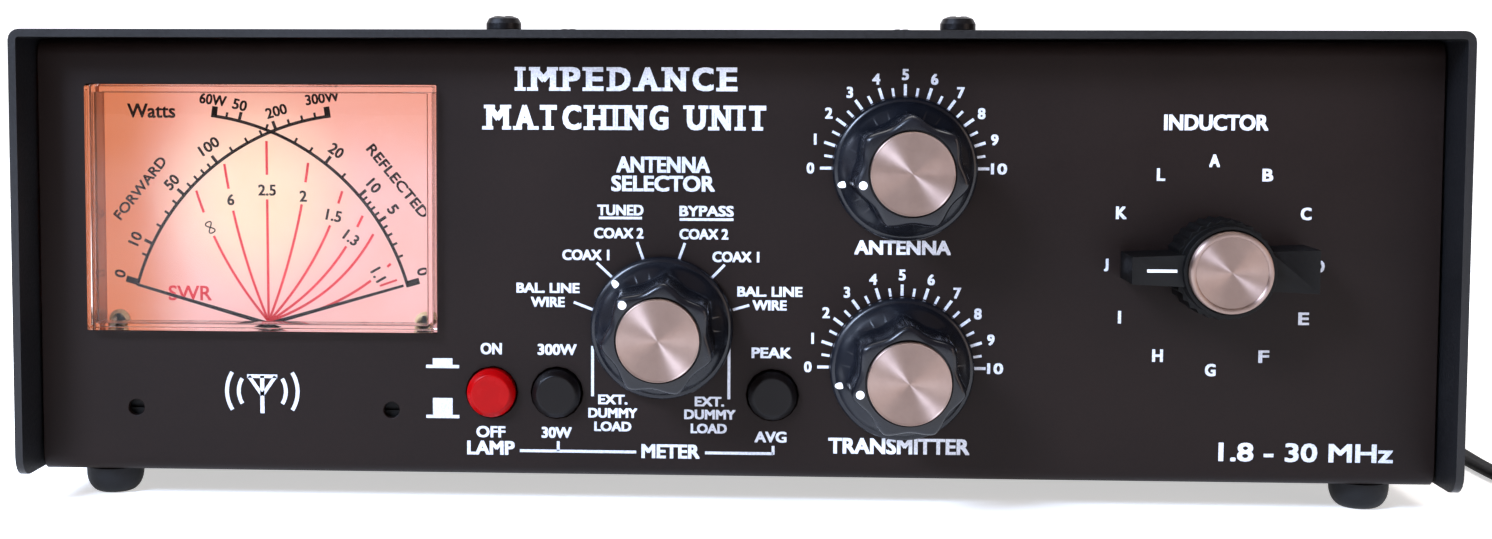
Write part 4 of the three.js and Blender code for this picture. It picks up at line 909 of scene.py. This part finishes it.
printed("scale_print", scale_print(), DIAL, DIAL_BLACK, "meter_dial")
ratio_lines, ratio_labels = ratio_print()
printed("ratio_lines", ratio_lines, DIAL, DIAL_RED, "meter_dial")
printed("ratio_numbers", ratio_labels, DIAL, DIAL_BLACK, "meter_dial")
refined("meter_window", CLEAR_STYRENE, 0.25)
refined("meter_case", HOUSING, 0.25)
recoat(LIT_CARD, "meter_dial")
recoat(NEEDLE_LACQUER, "forward_needle", "reflected_needle")
for node in ("dial_screw_left", "dial_screw_right"):
    refined(node, BRASSY_ZINC, 0.08)
recoat(LAMP_GLASS, "meter_lamp")
recoat(TRIMMER_SHADE, "forward_trimmer", "reflected_trimmer")


# ------------------------------------------------------------------ knobs
KNOB_HEIGHT = 19.2
LOBES = 7


def fluted_knob(name, pointing, height=KNOB_HEIGHT, tip=10.6, valley=9.2, skirt=13.6):
    """A knob of seven lobes on a coned skirt. Radius = base + lobe * swell(angle), where swell is
    1 - |sin(7 a / 2)|^1.4 with a from the pointing lobe, so flutes are round and ridges narrow.
    """
    at = DIALS[name][[0, 2]]
    sides = 252
    start = math.radians(pointing)
    angle = start + np.arange(sides) * TAU / sides
    swell = 1 - np.abs(np.sin(LOBES * (angle - start) / 2)) ** 1.4
    lobes = tip - valley
    edge = np.linspace(0, math.pi / 2, 6)[1:]
    rim = np.linspace(0, math.pi / 2, 5)
    rows = [(0, 0, 17.1), (3.475, 0, 17.1), (3.475, 0, 4.5), (8.1, 0, 4.5), (8.1, 0, 0.8), (skirt - 0.25, 0, 0.8)]
    rows += [(skirt, 0, 1.05), (skirt, 0, 1.9)]
    rows += [(skirt - 0.9 + 0.9 * math.cos(b), 0, 1.9 + 1.1 * math.sin(b)) for b in rim[1:]]
    rows += [(11.6, 0, 4.6), (valley + 0.55, 0.9, 5.25), (valley + 0.1, 1, 6.0), (valley, 1, 7.0)]
    rows += [(valley, 1, height - 1.2)]
    rows += [(valley - 1.2 + 1.2 * math.cos(b), 0.98, height - 1.2 + 1.2 * math.sin(b)) for b in edge]
    rows += [(7.95, 0, height), (7.85, 0, height - 0.1), (7.85, 0, height - 1.4), (0, 0, height - 1.4)]
    base, lobe, h = np.array(rows, float).T[..., None]
    radius = base + lobe * lobes * swell
    points = about_y(at, radius, PANEL - h, angle)
    node = name + "_knob"
    knob = piece(node + "_fluted", points, grid_faces(len(rows), sides), GLOSS_BLACK, node, None, 40)
    replaced(knob, node)
    way = np.array([math.cos(start), math.sin(start)])
    dot = from_face(PANEL - height, (0, -0.1), (0.6, -0.1), (0.78, 0), (0.78, 0.4), (0, 0.4))
    turned(name + "_knob_dot", dot, at + way * 9.05, DOT_ENAMEL, node, 20)
    # The skirt's dot lies on its cone, so it is a flattened dome stretched along the radius.
    low = at + way * 12.1
    u, v = np.meshgrid(np.linspace(0, 1, 6), np.arange(20) * TAU / 20, indexing="ij")
    out, across = 0.95 * u * np.cos(v), 0.62 * u * np.sin(v)
    side = np.array([-way[1], way[0]])
    place = low + out[..., None] * way + across[..., None] * side
    lift = 4.15 - 0.72 * out + 0.12 * (1 - u**2)
    points = np.stack([place[..., 0], PANEL - lift, place[..., 1]], -1)
    piece(name + "_skirt_dot", points, grid_faces(6, 20), DOT_ENAMEL, node, None, 80)


def knob_insert(name, height, radius, rim):
    """A spun disc with a lathe-turned edge: flat to the rim, then a rounded bead or a plain corner."""
    node = name + "_insert"
    front = PANEL - height - 1.1
    bead = np.linspace(0, math.pi, 9)
    edge = [(radius - rim + rim / 2 * (1 - math.cos(b)), front - 0.28 * rim * math.sin(b)) for b in bead]
    back = PANEL - height + 1.1
    profile = [(0, front), (radius * 0.33, front), (radius * 0.66, front), *edge, (radius, back), (0, back)]
    made = turned(node + "_spun", profile, DIALS[name][[0, 2]], SPUN, node, 96, 50)
    return replaced(made, node)


for name, pointing in (("selector", 135.5), ("antenna", 193.7), ("transmitter", 194.0)):
    fluted_knob(name, pointing)
    knob_insert(name, KNOB_HEIGHT, 7.55, 0.25)
refined("inductor_knob", SATIN_BLACK, 0.25)
knob_insert("inductor", 14.6, 7.45, 1.0)
at = DIALS["inductor"][[0, 2]]
left, right, half = at[0] - 14.6, at[0] - 9.2, 0.27
bar_line = patch([(left, at[1] - half), (right, at[1] - half), (right, at[1] + half), (left, at[1] + half)])
printed("inductor_pointer_line", [bar_line], PANEL - 12.62, DOT_ENAMEL, "inductor_knob")
recoat(ALUMINIUM, "selector_shaft", "inductor_shaft")
for name in ("antenna", "transmitter"):
    recoat(ALUMINIUM, name + "_rotor", name + "_stator")
recoat(PHENOLIC, "selector_switch", "inductor_switch")


# ------------------------------------------------------------------ buttons and switches
for name, material in (("lamp", RED_ABS), ("range", BUTTON_BLACK), ("peak", BUTTON_BLACK)):
    refined(name + "_button", material, 0.22, 3)
    refined(name + "_switch", GRAINED_ABS, 0.2)


# ------------------------------------------------------------------ rear connections
def threaded(name, before, root, crest, ends, pitch, after, at, material, like, sides=40, per_turn=7):
    """A turned piece with a screw thread between two profiles: radius = root + (crest - root) times a
    triangle wave of y / pitch - a / tau, faded out over half a turn at both ends.
    """
    angle = np.arange(sides) * TAU / sides
    y = np.arange(ends[0], ends[1], pitch / per_turn)[:, None]
    wave = np.abs(((y - ends[0]) / pitch - angle / TAU) % 1 - 0.5) * 2
    fade = np.clip(np.minimum(y - ends[0], ends[1] - y) / (pitch / 2), 0, 1)
    radius = [np.full((1, sides), r) for r, _ in before]
    radius += [root + (crest - root) * wave * fade] + [np.full((1, sides), r) for r, _ in after]
    r = np.vstack(radius)
    rows = np.concatenate([[b for _, b in before], y[:, 0], [b for _, b in after]])[:, None]
    points = about_y(at, r, rows, angle)
    return piece(name, points, grid_faces(len(rows), sides), material, like, None, 50)


def pan_screw(name, at, seat, radius, rise, material, like, turn=0.0):
    """A pan head with a cross recess: height = rise * (sqrt(1 - u^4) - 0.6 cross), where u = r / R and
    cross is 1 in the two arms of the recess and falls to 0 over 6% of the radius.
    """
    sides = 40
    u = np.concatenate([np.linspace(0, 0.93, 15), [0.97, 0.99, 1.0, 0.0]])[:, None]
    angle = np.arange(sides) * TAU / sides
    p, q = np.abs(u * np.cos(angle - turn)), np.abs(u * np.sin(angle - turn))
    cross = np.clip((0.16 - np.minimum(p, q)) / 0.06, 0, 1) * np.clip((0.6 - np.maximum(p, q)) / 0.06, 0, 1)
    height = rise * (np.sqrt(np.clip(1 - u**4, 0, 1)) - 0.6 * cross)
    height[-1] = 0
    points = about_y(at, radius * u, seat + height, angle)
    return piece(name, points, grid_faces(len(u), sides), material, like, None, 40)


for node in ("transmitter_socket", "coax_1_socket", "coax_2_socket", "dummy_load_socket"):
    at = middle(node)[[0, 2]]
    rows = from_face(SEAT, (0, 0), (0, 2.15), (0.12, 2.4), (0.4, 2.5))
    replaced(slab(node + "_flange", at, (12.7, 12.7), 2.2, rows, NICKEL, node), node)
    collar = from_face(SEAT, (0, 2.2), (8.5, 2.2), (8.5, 3.5), (7.4, 3.7))
    mouth = from_face(REAR, (7.3, 15.4), (7.25, 15.8), (7.0, 16), (6.6, 16), (6.4, 15.8), (6.4, 3.4), (0, 3.4))
    thread = (SEAT + 3.9, REAR + 15.1)
    threaded(node + "_barrel", collar, 7.35, 7.95, thread, 1.06, mouth, at, NICKEL, node, 48)
    rows = from_face(REAR, (2.5, 3.5), (6.38, 3.5), (6.38, 11.3), (5.9, 11.6), (3.0, 11.6), (2.5, 11.9))
    turned_ring(node + "_insulator", rows, at, CERAMIC, node)
    rows = from_face(REAR, (0, 3.6), (2.45, 3.6), (2.45, 12.2), (2.3, 12.4), (2.0, 12.2), (2.0, 4.4), (0, 4.4))
    turned(node + "_contact", rows, at, NICKEL, node, 28)
    rows = from_face(REAR, (0, -11), (1.7, -11), (1.9, -10.7), (1.9, -6.2), (5.4, -5.8), (5.9, -5.3))
    rows += from_face(SEAT, (5.9, 0.2), (0, 0.2))
    turned(node + "_solder_cup", rows, at, CERAMIC, node, 32)
    for i, (u, v) in enumerate(((-1, -1), (1, -1), (1, 1), (-1, 1))):
        corner, turn = at + (9.1 * u, 9.1 * v), 0.5 * i + at[0] * 0.1
        pan_screw(f"{node}_screw_{i}", corner, SEAT + 2.48, 2.6, 1.5, ZINC, node, turn)


def wing(name, at, seat, way, material, like):
    """One wing of a nut: an ellipse of half sides b and c carried outwards and upwards. With u from 0
    at the hub to 1 at the tip, b = 2.5 - 0.9 u, c = 1.15 - 0.3 u, both times sqrt(1 - s^2) at the tip.
    """
    u = np.concatenate([np.linspace(0, 0.78, 9), 0.78 + 0.22 * np.sin(np.linspace(0.2, math.pi / 2, 7))])[:, None]
    v = np.arange(24) * TAU / 24
    end = np.sqrt(np.clip(1 - (np.clip(u - 0.78, 0, 1) / 0.22) ** 2, 0, 1))
    b, c = (2.5 - 0.9 * u) * end, (1.15 - 0.3 * u) * end
    lean = 0.6 + 3.1 * u**1.4
    x = at[0] + way * (2.2 + 6.7 * u + 0.35 * b * np.cos(v) * u)
    points = np.stack(np.broadcast_arrays(x, seat + 1.1 + c * np.sin(v) + 1.6 * u**2, at[1] + lean + b * np.cos(v)), -1)
    points = np.concatenate([points[:1].mean(1, keepdims=True).repeat(24, 1), points])
    return piece(name, points, grid_faces(len(points), 24), material, like, None, 60)


POST_BASES = {"wire_post": 6.3, "balanced_post_left": 6.3, "balanced_post_right": 6.3, "ground_post": 2.0}
for node, base in POST_BASES.items():
    if node == "ground_post":
        at = np.array([118.0, 64.0])
        rows = from_face(SEAT, (0, 0), (5.4, 0), (5.5, 0.15), (5.5, 0.75), (5.35, 0.9), (0, 0.9))
        replaced(turned(node + "_washer", rows, at, ZINC, node), node)
    else:
        at = np.array([middle(node)[0], 48.0])
        ribs = from_face(
            SEAT, (0, 0), (7.8, 0), (8.0, 0.3), (8.0, 1.3), (7.5, 1.9), (6.7, 2.2), (6.5, 2.5), (6.9, 2.9),
            (6.8, 3.4), (6.0, 3.8), (5.7, 4.2), (5.9, 4.7), (5.7, 5.2), (5.0, 5.6), (4.9, 5.9), (4.6, 6.0), (0, 6.0),
        )
        replaced(turned(node + "_insulator", ribs, at, CERAMIC, node, 48, 50), node)
    nut = SEAT + base - 1.0
    turned(node + "_flat_washer", from_face(nut, (0, 0), (4.9, 0), (4.9, 0.7), (0, 0.7)), at, ZINC, node, 40)
    foot, tip = from_face(REAR, (0, -12), (1.7, -12), (2.0, -11.7)), from_face(REAR, (2.0, 17.4), (1.6, 18), (0, 18))
    thread = (REAR - 11.5, REAR + 17.2)
    threaded(node + "_stud", foot, 1.98, 2.4, thread, 0.9, tip, at, ZINC, node, 24, 6)
    hub = from_face(nut, (0, 0.7), (3.9, 0.7), (4.2, 1.0), (4.2, 3.2), (3.9, 4.2), (3.4, 5.6), (3.0, 5.9), (0, 5.9))
    turned(node + "_wing_nut", hub, at, ZINC, node, 40, 50)
    for side, way in (("left", 1), ("right", -1)):
        wing(f"{node}_wing_{side}", at, nut + 1.2, way, ZINC, node)


# ------------------------------------------------------------------ inside
def coil_wire():
    """A helix about an axis along X: 26 turns, x = start + length * t, (y, z) = R (cos, sin) tau 26 t."""
    low, high = span("inductor_coil")
    centre, radius, turns = middle("inductor_coil"), (high[2] - low[2]) / 2 - 0.85, 26
    t = np.linspace(0, 1, turns * 36)
    angle = TAU * turns * t
    x = low[0] + 1 + (high[0] - low[0] - 2) * t
    path = np.stack([x, centre[1] + radius * np.cos(angle), centre[2] + radius * np.sin(angle)], 1)
    return tube("inductor_coil_wire", path, disc(0.8, 8), COPPER, "inductor_coil")


replaced(coil_wire(), "inductor_coil")
low, high = span("inductor_coil")
for i in range(4):
    q = math.pi / 4 + i * math.pi / 2
    bar_at = middle("inductor_coil")[1:] + 24.4 * np.array([math.cos(q), math.sin(q)])
    rows = [(0.2, low[0]), (0, low[0] + 0.2), (0, high[0] - 0.2), (0.2, high[0])]
    slab(f"inductor_coil_rib_{i}", bar_at, (1.6, 1.6), 0.5, rows, ACRYLIC, "inductor_coil", "x")
refined("coil_support", ACRYLIC, 0.3)


def power_of(wave, amount):
    return np.sign(wave) * np.abs(wave) ** amount


def balun_pair():
    """A ring core and the wire wound on it: round the ring by phi and round its section by theta, the
    section a superellipse, radius = R + a |cos|^0.45, z = Z + b |sin|^0.45, with their signs.
    """
    centre = middle("balun_core")
    edge = [(16, 9.6), (17, 8.6), (24, 8.6), (25, 9.6), (25, 18.8), (24, 19.8), (17, 19.8), (16, 18.8)]
    angle = np.arange(64) * TAU / 64
    r, z = np.array(edge).T[..., None]
    points = np.stack(np.broadcast_arrays(centre[0] + r * np.cos(angle), centre[1] + r * np.sin(angle), z), -1)
    core = piece("balun_ring", points, grid_faces(8, 64, closed_rows=True), IRON_POWDER, "balun_core", None, 50)
    replaced(eased(core, 0.35), "balun_core")
    t = np.linspace(0, 1, 24 * 40)
    theta, phi = TAU * 24 * t, math.radians(25) + math.radians(310) * t
    ring_r = 20.5 + 5.1 * power_of(np.cos(theta), 0.45)
    rise = 14.2 + 6.25 * power_of(np.sin(theta), 0.45)
    path = np.stack([centre[0] + ring_r * np.cos(phi), centre[1] + ring_r * np.sin(phi), rise], 1)
    tube("balun_winding", path, disc(0.6, 8), ENAMEL_WIRE, "balun_core")


balun_pair()
refined("meter_movement", ZINC, 0.3)
refined("meter_board", BOARD, 0.12)
